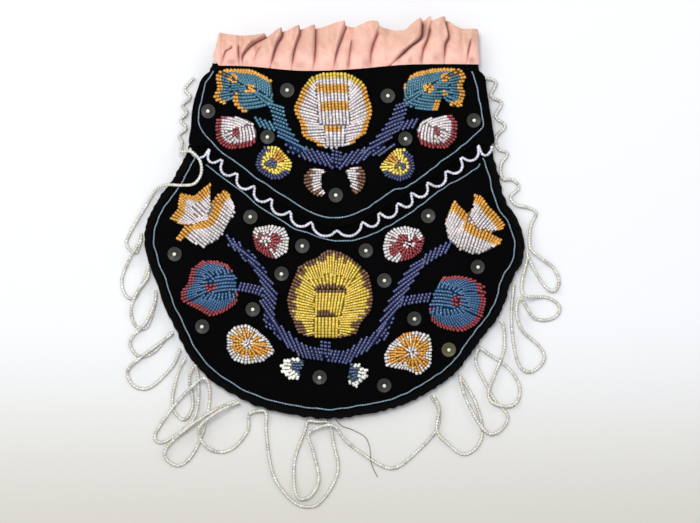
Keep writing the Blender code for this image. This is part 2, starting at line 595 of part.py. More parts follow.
def edge_binding():
    """A tape folded over the seam: a lip under the back, a wall, and a lip over the front."""
    edge = EDGE_POINTS[1:-1]
    inward = side_normals(edge)
    lip, wall = edge + inward * BINDING_LIP, edge - inward * GAP
    rows = [
        np.column_stack([lip, back_outside(lip) - GAP]),
        np.column_stack([wall, back_outside(edge) - GAP]),
        np.column_stack([wall, front_outside(edge) + GAP]),
        np.column_stack([lip, front_outside(lip) + GAP]),
    ]
    piece = grid_piece("edge_binding", np.stack(rows), "binding")
    thicken(piece, BINDING)


def grid_piece(name, rows, slot):
    """A surface through rows of points, each row running the same way."""
    count_v, count_u = rows.shape[:2]
    mesh = bpy.data.meshes.new(name)
    work = bmesh.new()
    bmesh.ops.create_grid(work, x_segments=count_u - 1, y_segments=count_v - 1, size=0.5)
    for vert in work.verts:
        u = int(round((vert.co.x + 0.5) * (count_u - 1)))
        v = int(round((vert.co.y + 0.5) * (count_v - 1)))
        vert.co = Vector(rows[v, u]) * MM
    work.to_mesh(mesh)
    work.free()
    mesh.shade_smooth()
    return place(name, mesh, slot)


def gathers(x):
    """0 in each crease of the ribbon and 1 on the fold between two creases."""
    index = np.clip(np.searchsorted(CREASES, x, side="right") - 1, 0, len(CREASES) - 2)
    left, right = np.take(CREASES, index), np.take(CREASES, index + 1)
    share = np.clip((x - left) / (right - left), 0, 1)
    return np.sqrt(np.sin(np.pi * share).clip(0, 1))


def gather_places():
    """Places along the stitches: each crease and three places on each fold."""
    folds = [np.linspace(a, b, FOLD_POINTS, endpoint=False) for a, b in zip(CREASES, CREASES[1:])]
    return np.concatenate(folds + [CREASES[-1:]])


def ribbon(name, foot, top, lap, level, fall, gather):
    """Gathered silk: flat at its stitches, fuller and lower towards its free edge."""
    x = gather_places()
    fold = gathers(x)
    sheet = []
    for v in np.linspace(0, 1, RIBBON_ROWS):
        flat = foot * (1 - v) + top * v
        drop = fall * eased((v - lap) / (1 - lap))
        z = level(flat) + GAP
        z = z - drop * z / z.max() + fold * (gather[0] * (1 - v) + gather[1] * v)
        sheet.append(np.column_stack([flat, z]))
    thicken(grid_piece(name, np.stack(sheet), "ribbon"), RIBBON)


def ribbons():
    """The front ribbon over the flap's top edge and the back ribbon inside the mouth."""
    x = gather_places()
    foot = np.column_stack([x, np.interp(x, FOOT[:, 0], FOOT[:, 1])])
    top = np.column_stack([x, np.interp(x, TOP[:, 0], TOP[:, 1])])
    height = np.mean(top[:, 1] - foot[:, 1])
    ribbon("front_ribbon", foot, top, (RIBBON_LAP + RIBBON_MARGIN) / height, flap_outside,
           FRONT_RIBBON_FALL, FRONT_GATHER)
    left, right = CREASES[0], CREASES[-1]
    narrow = (x - left) / (right - left) * (right - left - 2 * BACK_RIBBON_MARGIN)
    narrow = narrow + left + BACK_RIBBON_MARGIN
    foot = np.column_stack([narrow, mouth_y(narrow) - BACK_RIBBON_LAP])
    wide = (x + narrow) / 2
    top = np.column_stack([wide, np.interp(wide, TOP[:, 0], TOP[:, 1]) - RIBBON_MARGIN])
    lap = (BACK_RIBBON_LAP + RIBBON_MARGIN) / np.mean(top[:, 1] - foot[:, 1])
    ribbon("back_ribbon", foot, top, lap, back_inside, BACK_RIBBON_FALL, BACK_GATHER)


def flap():
    """The velvet flap, sewn at the mouth and lying over the front."""
    left = below_mouth(smooth(FLAP_LEFT, FLAP_SIDE_STEP))
    bottom = smooth(FLAP_EDGE, FLAP_EDGE_STEP)
    right = below_mouth(smooth(FLAP_RIGHT, FLAP_SIDE_STEP))
    ring = closed_outline(np.vstack([left[:-1], bottom, right[1:]]))
    cloth("flap", ring, flap_inside, FLAP, "velvet")


def flap_edging():
    """Scallops of white beads that hang from the flap's edge."""
    stitches = np.array(FLAP_EDGE, float)
    outward = -side_normals(stitches)
    anchors = stitches + outward * (EDGING / 2 + 2 * GAP)
    line = []
    for a, b in zip(anchors, anchors[1:]):
        span = b - a
        away = np.array([span[1], -span[0]]) / np.linalg.norm(span)
        count = max(3, int(round(np.linalg.norm(span) * SCALLOP_STRETCH / EDGING_STEP)))
        t = np.linspace(0, 1, count, endpoint=False)[:, None]
        line.append(a + span * t + away * SCALLOP_DEPTH * np.sin(np.pi * t) ** SCALLOP_ROUND)
    line = np.vstack(line + [anchors[-1:]])
    z = front_outside(line) + 2 * GAP + BINDING + EDGING / 2
    tube("flap_scallops", np.column_stack([line, z]), EDGING, "edging_beads")


def sequins(prefix, places, height, brass=None):
    """Flat sequins, each held by a bead in its middle: the section from the bead's top down is turned."""
    radius, bead = SEQUIN / 2, SEQUIN_BEAD / 2
    profile = [
        (0, SEQUIN_THICK + bead * 1.5), (bead * 0.8, SEQUIN_THICK + bead * 1.1),
        (bead, SEQUIN_THICK * 1.3), (radius, SEQUIN_THICK), (radius, 0), (0, 0),
    ]
    for number, (x, y) in enumerate(places, 1):
        mesh = bpy.data.meshes.new(prefix)
        mesh.from_pydata([(r * MM, 0, z * MM) for r, z in profile],
                         [(k, k + 1) for k in range(len(profile) - 1)], [])
        slot = "brass_sequin" if number == brass else "sequin"
        piece = place(f"{prefix}_{number}", mesh, slot)
        turn = piece.modifiers.new("turn", "SCREW")
        turn.steps = turn.render_steps = SEQUIN_SIDES
        turn.use_merge_vertices = True
        turn.merge_threshold = WELD * MM
        around = np.array([(x, y), (x + 1, y), (x, y + 1)], float)
        z, z_right, z_up = height(around)
        tilt = Vector((z - z_right, z - z_up, 1)).normalized()
        piece.rotation_euler = Vector((0, 0, 1)).rotation_difference(tilt).to_euler()
        piece.location += (Vector((x, y, z)) + tilt * GAP) * MM


def rest_height(points):
    """Height of a strand on the table, rising to the seam's middle beside the bag."""
    away = np.where(inside(points, SEWN_RING), 0.0, line_distance(points, OUTER_EDGE))
    seam = EDGE_LIFT + VELVET - FRINGE / 2
    return FRINGE / 2 + seam * eased(1 - away / FRINGE_DESCENT)


def lay_fringe():
    """Lay each strand on the table, in long low humps over what already lies there."""
    lift = FRINGE + GAP
    laid = np.zeros((0, 3))
    for name, route in FRINGE_ROUTES.items():
        flat = np.array([p[:2] for p in route], float)
        over = np.array([p[2] if len(p) > 2 else 0.0 for p in route])
        fine = smooth(np.column_stack([flat, over]), CORD_FINE)
        z = np.maximum(rest_height(fine[:, :2]), fine[:, 2])
        skip = int(OWN_LENGTH / CORD_FINE)
        strand = np.column_stack([fine[:, :2], z])
        for index in range(len(strand)):
            others = np.vstack([laid, strand[:max(0, index - skip)]])
            if len(others) == 0:
                continue
            far = np.linalg.norm(others[:, :2] - strand[index, :2], axis=1)
            share = eased((HUMP_END - far) / (HUMP_END - HUMP_TOP))
            want = strand[index, 2] * (1 - share) + (others[:, 2] + lift) * share
            strand[index, 2] = max(strand[index, 2], want.max())
        laid = np.vstack([laid, strand])
        tube(name, even_steps(strand, FRINGE_STEP), FRINGE, "fringe_beads")


def build():
    """Every piece of the bag, from the table up."""
    panels()
    flap()
    ribbons()
    border = OUTER_EDGE + side_normals(OUTER_EDGE) * LINE_INSET
    couched_line("panel_border_line", border[border[:, 1] < LINE_TOP], front_outside)
    couched_line("panel_inner_line", PANEL_INNER_LINE, front_outside)
    couched_line("flap_border_line", FLAP_LINE, flap_outside)
    flap_edging()
    for name, (slot, outline) in FLAP_MOTIFS.items():
        raised_beads(name, [np.array(outline, float)], flap_outside, slot)
    for name, (slot, outline) in PANEL_MOTIFS.items():
        raised_beads(name, [np.array(outline, float)], front_outside, slot)
    raised_beads("flap_stem", [strip_ring(*branch) for branch in FLAP_STEM], flap_outside, "stem_beads")
    raised_beads("panel_stem", [strip_ring(*branch) for branch in PANEL_STEM], front_outside, "stem_beads")
    sequins("flap_sequin", FLAP_SEQUINS, flap_outside)
    sequins("panel_sequin", PANEL_SEQUINS, front_outside, brass=13)
    lay_fringe()


for old in list(bpy.data.objects):
    bpy.data.objects.remove(old, do_unlink=True)
BAG = bpy.data.collections.new("beaded_bag")
bpy.context.scene.collection.children.link(BAG)
build()
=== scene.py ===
"""The looks of a beaded velvet bag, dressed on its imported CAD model.

The file is laid out as a Blender add-on and is run as a script. The frame gives every place: outlines,
seams and stitches are read from the CAD nodes, and the beads, cloth and ribbon are worked out round
them. Lengths are in metres, and MM turns a number of millimetres into metres.
"""

import math

import bpy
import numpy as np
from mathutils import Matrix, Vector


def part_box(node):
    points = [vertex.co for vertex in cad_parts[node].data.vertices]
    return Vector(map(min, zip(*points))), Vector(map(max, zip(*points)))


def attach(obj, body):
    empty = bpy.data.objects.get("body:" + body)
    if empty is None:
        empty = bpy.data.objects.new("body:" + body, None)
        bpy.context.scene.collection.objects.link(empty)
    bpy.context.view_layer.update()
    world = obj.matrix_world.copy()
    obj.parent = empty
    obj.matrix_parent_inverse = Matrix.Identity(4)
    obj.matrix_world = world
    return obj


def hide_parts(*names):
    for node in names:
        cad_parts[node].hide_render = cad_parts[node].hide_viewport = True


bl_info = {
    "name": "Beaded bag",
    "version": (1, 0, 0),
    "blender": (4, 5, 0),
    "location": "3D View > Sidebar > Beaded bag",
    "description": "Dresses a beaded velvet bag with beads, cloth and ribbon",
    "category": "Object",
}

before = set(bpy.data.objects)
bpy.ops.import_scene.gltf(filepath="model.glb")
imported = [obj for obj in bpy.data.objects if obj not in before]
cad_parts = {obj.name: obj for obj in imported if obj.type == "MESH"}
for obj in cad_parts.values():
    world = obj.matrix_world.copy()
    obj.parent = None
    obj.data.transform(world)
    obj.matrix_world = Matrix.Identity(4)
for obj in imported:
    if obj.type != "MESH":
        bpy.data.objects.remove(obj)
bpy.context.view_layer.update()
MM = 0.001
BODY = "root"

# The photograph's frame: the width that it shows at a level over the table, and its middle
VIEW_WIDTH = 304.5 * MM
VIEW_LEVEL = 7.0 * MM
VIEW_CENTRE = (6.9 * MM, -18.6 * MM)

# The fringe: each strand's stitches and loops as (x, y) in millimetres from the bag's pattern centre;
# a third number lifts it over the bag. The same points as in the CAD source
PATTERN_CENTRE = (0.25, 0.3)
FRINGE_ROUTES = {
    "fringe_left": [
        (-61, 62), (-65, 57), (-62.5, 53.5), (-66, 50), (-63.8, 46.5), (-67, 43.5), (-64.2, 40),
        (-67.5, 37), (-66, 33.5, 4), (-66.5, 29.5, 7.3), (-62, 29.5, 9.9), (-58, 25.5, 9.9),
        (-57.5, 20, 8.8), (-60.5, 15.5, 8.4), (-66, 14.8, 7.8), (-72.5, 15, 7.4), (-77.5, 13, 4.5),
        (-82.5, 5), (-89, -6), (-90.5, -11), (-86.5, -14.5), (-84, -9), (-84, -6),
        (-84.5, -9.5), (-89, -17), (-92.5, -26), (-91, -33), (-86.5, -34), (-82, -24), (-81, -20),
        (-81, -25), (-86, -32), (-88.5, -40), (-86.5, -46.5), (-81.5, -47), (-78, -37), (-77.5, -31),
        (-78, -36), (-82, -45), (-88.5, -52), (-88, -57), (-84, -60), (-78, -57.5), (-72, -50.5),
        (-70, -49), (-72, -51), (-84, -60), (-90, -66), (-88, -72), (-82.5, -74), (-77, -71),
        (-70, -63.5), (-67, -56.5)],
    "fringe_lower_left": [
        (-64.5, -60), (-68, -67), (-70.5, -81), (-65.5, -87.5), (-61.5, -81), (-63, -70), (-61, -64),
        (-59.5, -66), (-59, -77), (-61, -87), (-69, -94), (-75.5, -97.5), (-78, -94), (-71, -83),
        (-62, -73), (-56, -69), (-54, -76), (-56, -89.5), (-61.5, -102.5), (-68, -107.5),
        (-73.5, -104), (-72.5, -99), (-64, -91), (-52, -83), (-42, -79)],
    "fringe_bottom": [
        (-41, -79.5), (-50, -83.5), (-58.5, -90.5), (-57, -97.5), (-50.5, -101.5), (-43.5, -99.5),
        (-37.5, -92), (-37, -85), (-33, -83.5), (-29.5, -84), (-29.5, -91.5), (-28, -105),
        (-25.5, -113.5), (-21, -120), (-16.5, -124), (-11.5, -125.5), (-6.5, -124), (-1, -117),
        (2, -108.5), (0, -98), (-2, -89), (-7, -88.2), (-11.5, -88), (-12.5, -92), (-17, -105),
        (-17, -118), (-14.5, -122), (-9.5, -120), (-6.5, -113), (-9, -101), (-11, -93.5), (-5, -90),
        (0.5, -90), (4, -95), (9.5, -100), (20, -107), (26.5, -108.5), (33.5, -104), (44.5, -92.5),
        (46, -84), (42.5, -77)],
    "fringe_lower_right": [
        (43.5, -76.5), (46, -82.5), (45, -92), (50, -98), (56.5, -102.5), (62.5, -99.5),
        (65, -92), (62, -80), (56, -69.5), (54.8, -67.5), (57.5, -77.5), (63.5, -89), (68.5, -93.5),
        (74, -91), (76, -85.5), (70.5, -79), (65.5, -70), (62, -62), (63.5, -56), (68, -59),
        (76, -64.5), (81, -72), (80.5, -79), (75.5, -81.5), (69, -79.5), (67.5, -75), (70.5, -67),
        (74.5, -56), (74, -46), (72, -43.5)],
    "fringe_right": [
        (78.5, -28), (77.5, -44.5), (79.5, -59.5), (82.5, -65.5), (87.5, -66), (92, -61), (90, -55.5),
        (82, -48), (79.5, -40), (81.5, -34), (86.5, -42), (92, -44), (97.5, -42), (98.5, -37.5),
        (93, -34), (83, -33), (82, -27), (84.5, -17), (84, -14), (86.5, -20), (90, -26), (93, -30),
        (96.5, -31), (98.5, -27), (96, -21), (90, -16.5), (85.5, -12), (86, -3), (88.5, 3),
        (84, 5.5), (79.5, 6.5), (77, 10), (81, 14), (78, 17.5), (73.5, 18), (73, 24), (76, 29),
        (71.5, 31), (70.8, 36), (75, 41), (70.5, 45), (73.5, 51), (68.5, 54), (71, 60), (66, 62)],
}

# Each motif in its own box, whose lower left corner is (0, 0) and upper right one (1, 1):
# colour is what most of its beads have, and wider the share of the usual distance between its lanes
# fans are sets of bead lanes between a root line and a tip line, as (root, tip, number of beads with
#   the tip's colour, that colour, how far the lanes bow to their left as a share of their length)
# big_fans are the same in big beads
# wheel is lanes like spokes, as (hub's place, its size, number of beads with the tip's colour, colour)
# ragged tips have a bead more or less from lane to lane
# half keeps the tip's colour to one side, as (right, up, limit): the place from the box's middle,
#   measured along (right, up), is more than the limit
# upper_tips gives the tips above a level another colour
# spots are patches of another colour, as (form, colour, middle, half its width, half its height)
MOTIFS = {
    "leaf": {
        "colour": "teal",
        "wider": 1.12,
        "fans": [
            ([(0.6, 0.57), (0.63, 0.51)], [(1.06, 0.2), (1.02, 0.1)], 0, "gold"),
            ([(0.97, 0.27), (0.8, 0.42), (0.63, 0.57), (0.52, 0.66), (0.42, 0.73)],
             [(0.98, 0.74), (0.84, 0.82), (0.72, 0.94), (0.6, 1.03), (0.4, 1.1), (0.2, 1.1),
              (0.0, 1.0)], 2, "gold", -0.12),
            ([(0.44, 0.7), (0.6, 0.56)], [(0.32, 0.7), (0.31, 0.54)], 0, "gold"),
            ([(0.4, 0.7), (0.35, 0.55), (0.34, 0.24)],
             [(-0.03, 0.9), (-0.03, 0.6), (-0.03, 0.42), (0.03, 0.24), (0.24, 0.16)], 2, "gold"),
            ([(0.62, 0.5), (0.82, 0.32), (1.0, 0.1)],
             [(0.31, 0.56), (0.31, 0.36), (0.36, 0.18), (0.47, 0.02)], 2, "gold", 0.05),
        ],
        "spots": [("oval", "gold", 0.34, 0.78, 0.08, 0.1), ("oval", "gold", 0.61, 0.54, 0.08, 0.1)],
    },
    "shell": {
        "colour": "lilac",
        "wider": 1.12,
        "fans": [
            ([(0.44, 0.01), (0.62, 0.01)], [(0.42, 0.29), (0.63, 0.29)], 0, "gold"),
            ([(0.35, 0.31), (0.69, 0.31)],
             [(0.3, 0.97), (0.39, 1.03), (0.48, 1.07), (0.57, 1.03), (0.65, 1.02)], 2, "lemon"),
            ([(0.31, 0.81), (0.34, 0.65), (0.34, 0.32), (0.4, 0.27), (0.41, 0.01)],
             [(0.27, 0.97), (0.22, 0.95), (0.14, 0.87), (0.1, 0.77), (0.05, 0.67), (0.01, 0.53),
              (0.04, 0.43), (0.08, 0.31), (0.1, 0.21), (0.16, 0.14), (0.26, 0.1), (0.3, 0.01)],
             2, "gold"),
            ([(0.7, 0.83), (0.7, 0.32), (0.64, 0.27), (0.64, 0.01)],
             [(0.7, 0.99), (0.76, 0.97), (0.81, 0.93), (0.88, 0.89), (0.92, 0.8), (0.96, 0.69),
              (1.0, 0.62), (1.0, 0.49), (0.96, 0.33), (0.93, 0.27), (0.9, 0.2), (0.83, 0.17),
              (0.79, 0.06)], 2, "gold"),
        ],
        "upper_tips": (0.8, "lemon"),
        "spots": [("bar", "gold", 0.5, 0.78, 0.19, 0.05), ("bar", "gold", 0.53, 0.55, 0.18, 0.05),
                  ("bar", "gold", 0.52, 0.27, 0.1, 0.04)],
    },
    "rosette": {
        "colour": "lilac",
        "fans": [
            ([(0.93, 0.95), (0.9, 0.76), (0.62, 0.66), (0.46, 0.57)],
             [(0.33, 1.04), (0.05, 0.99), (-0.05, 0.78), (-0.02, 0.55)], 2, "crimson", -0.07),
            ([(0.6, 0.6), (0.75, 0.66), (1.0, 0.76)], [(0.57, -0.03), (0.83, -0.02), (1.06, 0.1)],
             2, "crimson", 0.08),
            ([(0.45, 0.55), (0.53, 0.46), (0.55, 0.3)],
             [(-0.03, 0.52), (0.0, 0.28), (0.14, 0.08), (0.36, -0.04), (0.55, 0.0)], 2, "crimson"),
        ],
        "half": (-0.6, -0.8, -0.28),
        "spots": [("oval", "crimson", 0.5, 0.5, 0.1, 0.13)],
    },
    "bud": {
        "colour": "yellow",
        "wheel": (0.42, 0.46, 0.05, 2, "navy"),
        "half": (-0.75, -0.6, -0.12),
        "spots": [("oval", "navy", 0.42, 0.47, 0.15, 0.14), ("oval", "gold", 0.63, 0.68, 0.15, 0.15)],
    },
    "crescent": {
        "colour": "lilac",
        "ragged": True,
        "fans": [
            ([(1.05, 1.05), (0.83, 0.84), (0.82, 0.43), (0.94, 0.11)],
             [(0.45, 1.18), (0.18, 0.97), (0.0, 0.72), (-0.01, 0.53), (0.1, 0.32), (0.26, 0.18),
              (0.59, 0.01), (0.83, -0.05)], 2, "brown"),
        ],
    },
    "tulip_left": {
        "colour": "lilac",
        "fans": [
            ([(0.27, 0.36), (0.4, 0.37), (0.47, 0.41), (0.59, 0.44), (0.6, 0.57), (0.64, 0.66),
              (0.64, 0.81)],
             [(-0.01, 0.41), (0.09, 0.57), (0.15, 0.62), (0.12, 0.87), (0.41, 0.82), (0.45, 0.88),
              (0.52, 0.94), (0.66, 1.01)], 3, "gold"),
            ([(0.35, 0.02), (0.5, -0.01), (0.77, 0.13), (0.87, 0.18), (0.97, 0.32), (1.0, 0.54),
              (0.93, 0.76)],
             [(0.1, 0.11), (0.16, 0.24), (0.27, 0.36), (0.41, 0.36), (0.58, 0.42), (0.64, 0.53),
              (0.69, 0.64), (0.74, 0.74), (0.83, 0.88), (0.92, 0.79)], 3, "gold"),
        ],
    },
    "tulip_right": {
        "colour": "lilac",
        "fans": [
            ([(0.46, 0.78), (0.42, 0.62), (0.5, 0.49), (0.59, 0.44), (0.67, 0.41), (0.78, 0.4),
              (0.89, 0.4)],
             [(0.46, 0.94), (0.52, 1.01), (0.61, 1.0), (0.67, 0.86), (0.76, 0.77), (0.82, 0.7),
              (0.94, 0.64), (1.04, 0.54), (1.05, 0.42)], 3, "gold"),
            ([(0.01, 0.56), (0.01, 0.47), (0.03, 0.32), (0.06, 0.18), (0.19, 0.12), (0.3, 0.04),
              (0.46, 0.0), (0.61, 0.04), (0.74, 0.12), (0.84, 0.17)],
             [(0.12, 0.82), (0.17, 0.91), (0.3, 0.79), (0.39, 0.69), (0.33, 0.58), (0.44, 0.47),
              (0.57, 0.41), (0.72, 0.35), (0.89, 0.32), (1.01, 0.27)], 3, "gold"),
        ],
    },
    "small_rosette": {
        "colour": "crimson",
        "ragged": True,
        "wheel": (0.38, 0.52, 0.05, 3, "pearl"),
        "half": (0.75, 0.65, -0.2),
        "spots": [("oval", "pearl", 0.38, 0.52, 0.13, 0.13)],
    },
    "blue_flower": {
        "colour": "azure",
        "fans": [
            ([(1.02, 0.71), (1.0, 0.48)], [(0.6, 0.69), (0.55, 0.44)], 0, "crimson", -0.05),
            ([(1.0, 0.76), (0.8, 0.76), (0.63, 0.72), (0.5, 0.68)],
             [(0.92, 0.86), (0.82, 0.98), (0.56, 1.06), (0.31, 1.04), (0.12, 0.92), (0.08, 0.71)],
             2, "crimson", -0.12),
            ([(0.5, 0.67), (0.46, 0.46)], [(0.08, 0.7), (0.0, 0.53), (-0.06, 0.36), (0.0, 0.25)],
             2, "crimson"),
            ([(0.46, 0.43), (0.6, 0.42), (1.0, 0.45)],
             [(0.02, 0.22), (0.2, 0.08), (0.5, -0.04), (0.75, 0.0), (0.95, 0.08), (1.06, 0.25)],
             2, "crimson", 0.08),
        ],
        "spots": [("oval", "crimson", 0.52, 0.56, 0.08, 0.13)],
    },
    "yellow_flower": {
        "colour": "lemon",
        "ragged": True,
        "fans": [
            ([(0.34, 0.01), (0.57, 0.01)], [(0.34, 0.24), (0.58, 0.24)], 0, "brown"),
            ([(0.34, 0.26), (0.6, 0.26)], [(0.35, 0.54), (0.66, 0.54)], 0, "brown"),
            ([(0.35, 0.56), (0.67, 0.56)],
             [(0.16, 0.82), (0.29, 0.87), (0.36, 0.89), (0.43, 0.96), (0.5, 1.0), (0.6, 0.97),
              (0.69, 0.93), (0.76, 0.87), (0.85, 0.81)], 2, "brown"),
            ([(0.36, 0.6), (0.35, 0.25), (0.35, 0.01)],
             [(0.14, 0.8), (0.08, 0.7), (0.01, 0.52), (0.0, 0.39), (0.02, 0.3), (0.08, 0.23),
              (0.1, 0.13), (0.16, 0.04), (0.27, 0.01)], 2, "brown"),
            ([(0.66, 0.6), (0.6, 0.25), (0.57, 0.01)],
             [(0.87, 0.79), (0.96, 0.71), (0.98, 0.56), (1.0, 0.39), (0.97, 0.3), (0.88, 0.22),
              (0.86, 0.18), (0.82, 0.09), (0.78, 0.03), (0.67, 0.01)], 2, "brown"),
        ],
        "spots": [("bar", "brown", 0.5, 0.56, 0.17, 0.05), ("bar", "brown", 0.46, 0.27, 0.11, 0.04)],
    },
    "orange_bud": {
        "colour": "gold",
        "ragged": True,
        "wheel": (0.43, 0.52, 0.04, 2, "pearl"),
        "half": (-0.45, -0.9, -0.36),
        "spots": [("oval", "lilac", 0.43, 0.52, 0.1, 0.15)],
    },
    "white_bud": {
        "colour": "deep_blue",
        "fans": [
            ([(0.97, 0.78), (0.81, 0.33)], [(0.45, 0.76), (0.56, 0.44)], 0, "pearl"),
        ],
        "big_fans": [
            ([(0.88, 0.87), (0.71, 0.9), (0.55, 0.82), (0.43, 0.66), (0.44, 0.47), (0.56, 0.33),
              (0.71, 0.26)],
             [(0.97, 0.99), (0.7, 1.07), (0.35, 1.0), (0.14, 0.82), (0.01, 0.59), (0.12, 0.4),
              (0.24, 0.23), (0.37, 0.08), (0.63, -0.01)], 3, "chalk"),
        ],
    },
}

# Which motif each node shows, its material slot, and whether it is mirrored
PLACED_MOTIFS = [
    ("leaf_left", "leaf", "teal_beads", False), ("leaf_right", "leaf", "teal_beads", True),
    ("shell", "shell", "lilac_beads", False),
    ("rosette_left", "rosette", "lilac_beads", False),
    ("rosette_right", "rosette", "lilac_beads", True),
    ("bud_left", "bud", "yellow_beads", False), ("bud_right", "bud", "yellow_beads", True),
    ("crescent_left", "crescent", "lilac_beads", False),
    ("crescent_right", "crescent", "lilac_beads", True),
    ("tulip_left", "tulip_left", "lilac_beads", False),
    ("tulip_right", "tulip_right", "lilac_beads", False),
    ("small_rosette_left", "small_rosette", "lilac_beads", False),
    ("small_rosette_right", "small_rosette", "lilac_beads", True),
    ("blue_flower_left", "blue_flower", "teal_beads", False),
    ("blue_flower_right", "blue_flower", "teal_beads", True),
    ("yellow_flower", "yellow_flower", "yellow_beads", False),
    ("orange_bud_left", "orange_bud", "orange_beads", False),
    ("orange_bud_right", "orange_bud", "orange_beads", True),
    ("white_bud_left", "white_bud", "white_beads", False),
    ("white_bud_right", "white_bud", "white_beads", True),
]

# Each branch of a stem: its width, the slant of its bead lanes at both ends in degrees, its colours
# at both ends, and its route, in millimetres from the pattern's centre
FLAP_STEM = [
    (4.5, (-15, -12), ("navy", "navy"), [(1.5, 29.8), (1, 24)]),
    (5.2, (-18, -28), ("teal", "azure"),
     [(-26.0, 50.3), (-24.5, 47.5), (-22.5, 41), (-19.5, 35.5), (-17.2, 32.5), (-15.5, 31)]),
    (5.0, (-60, -58), ("navy", "navy"), [(-18, 32), (-13.5, 29.5), (-7, 27), (1, 24.8)]),
    (3.5, (-62, -60), ("teal", "teal"), [(-22, 39.5), (-27, 40.5), (-33.6, 42.4)]),
    (3.5, (-50, -50), ("navy", "navy"), [(-13, 29), (-17, 30), (-19.6, 30.6)]),
    (5.0, (18, 28), ("navy", "navy"),
     [(30.6, 51), (29.2, 48), (27.5, 44), (24, 38.5), (19.5, 33), (18, 31.5)]),
    (5.0, (48, 56), ("navy", "navy"), [(20, 33), (14.5, 29), (6, 26), (0.5, 24.8)]),
    (3.5, (60, 60), ("navy", "navy"), [(24, 38.5), (30, 40.5), (37, 42)]),
    (3.5, (35, 35), ("navy", "navy"), [(16, 29.5), (20, 29.5), (23, 30)]),
]
PANEL_STEM = [
    (4.5, (-8, -8), ("navy", "navy"), [(-3.5, -52.8), (-3.5, -59)]),
    (5.0, (-75, -38), ("navy", "navy"),
     [(-3.5, -59), (-12.5, -57), (-19, -52.5), (-25, -47), (-28, -40.5), (-28, -33), (-29.5, -27),
      (-33, -20.5), (-38.5, -14.5)]),
    (3.8, (-72, -58), ("navy", "navy"), [(-36, -17), (-41, -12.5), (-47, -8.6)]),
    (3.8, (58, 75), ("navy", "navy"), [(-28.5, -33), (-33.5, -30.5), (-41.8, -29)]),
    (3.5, (-52, -52), ("navy", "navy"), [(-26, -45.5), (-30, -45)]),
    (5.0, (72, 30), ("navy", "navy"),
     [(-3.5, -59), (5, -59.5), (11, -56), (17.5, -52), (22, -46.5), (26, -37.5), (30.5, -29),
      (35.5, -20.5), (36.3, -18)]),
    (3.8, (80, 62), ("navy", "navy"), [(35, -21), (38.5, -18.5), (43, -15.5), (50, -11.6)]),
    (3.8, (68, 72), ("navy", "navy"), [(27, -36.5), (33, -35), (42, -33.8)]),
    (3.5, (58, 58), ("navy", "navy"), [(19, -50), (21.5, -50.6), (23.4, -50.8)]),
]


def tone(red, green, blue):
    """A colour as seen, 0 to 255 for each part, turned into the light that Blender works with."""
    seen = np.array([red, green, blue]) / 255
    light = np.where(seen <= 0.04045, seen / 12.92, ((seen + 0.055) / 1.055) ** 2.4)
    return tuple(float(x) for x in light)


def length_value(name, description, default):
    return bpy.props.FloatProperty(name=name, description=description, default=default, min=0.0,
                                   precision=5, subtype="DISTANCE", unit="LENGTH")


def colour_value(name, description, seen):
    return bpy.props.FloatVectorProperty(name=name, description=description, default=tone(*seen),
                                         size=3, min=0.0, max=1.0, subtype="COLOR")


class BagBeads(bpy.types.PropertyGroup):
    """Sizes of the beads and of the rows that they are sewn in."""

    lane: length_value("Lane", "Distance between two rows of beads", 1.56 * MM)
    width: length_value("Width", "Width of a bead across its hole", 1.55 * MM)
    length: length_value("Length", "Length of a bead along its hole", 1.25 * MM)
    big: length_value("Big bead", "Width of the big chalk white beads", 2.2 * MM)
    line: length_value("Line bead", "Width of the beads in the thin sewn lines", 0.72 * MM)
    edging: length_value("Edging bead", "Width of the beads in the scalloped edging", 1.35 * MM)
    fringe: length_value("Fringe bead", "Width of the beads in the fringe", 1.5 * MM)


class BagColours(bpy.types.PropertyGroup):
    """Colours of the glass beads."""

    teal: colour_value("Teal", "Leaves and the upper left stem", (35, 104, 128))
    azure: colour_value("Azure", "Blue flowers", (20, 82, 128))
    deep_blue: colour_value("Deep blue", "Inside the small white buds", (16, 62, 98))
    navy: colour_value("Navy", "Stems", (40, 51, 106))
    lilac: colour_value("Lilac white", "Shell, rosettes and tulips", (216, 206, 206))
    pearl: colour_value("Pearl", "Rims of the small rosettes and buds", (222, 216, 214))
    chalk: colour_value("Chalk", "Big opaque beads", (236, 234, 224))
    gold: colour_value("Gold", "Tips and bars", (216, 150, 32))
    lemon: colour_value("Lemon", "Yellow flower and the shell's upper tips", (224, 190, 56))
    yellow: colour_value("Yellow", "Buds on the flap", (240, 212, 84))
    crimson: colour_value("Crimson", "Rims and hearts", (142, 20, 32))
    brown: colour_value("Brown", "Tips of the crescents and of the yellow flower", (104, 60, 22))
    line: colour_value("Line", "Thin sewn lines", (104, 130, 146))
    edging: colour_value("Edging", "Scalloped edging", (210, 208, 222))
    fringe: colour_value("Fringe", "Clear fringe beads", (250, 244, 230))


class BagCloth(bpy.types.PropertyGroup):
    """Thickness and colour of the cloths."""

    velvet: length_value("Velvet", "Thickness of the velvet and its pile", 1.6 * MM)
    flap: length_value("Flap", "Thickness of the flap", 1.4 * MM)
    lining: length_value("Lining", "Thickness of the lining", 0.5 * MM)
    ribbon: length_value("Ribbon", "Thickness of the silk with its turned edge", 0.35 * MM)
    velvet_colour: colour_value("Velvet colour", "Black pile", (3, 3, 4))
    silk_colour: colour_value("Silk colour", "Pink silk", (240, 186, 170))
    silk_fade: colour_value("Silk fade", "Where the silk has faded", (212, 164, 140))
    lining_colour: colour_value("Lining colour", "Plain cotton", (150, 136, 116))


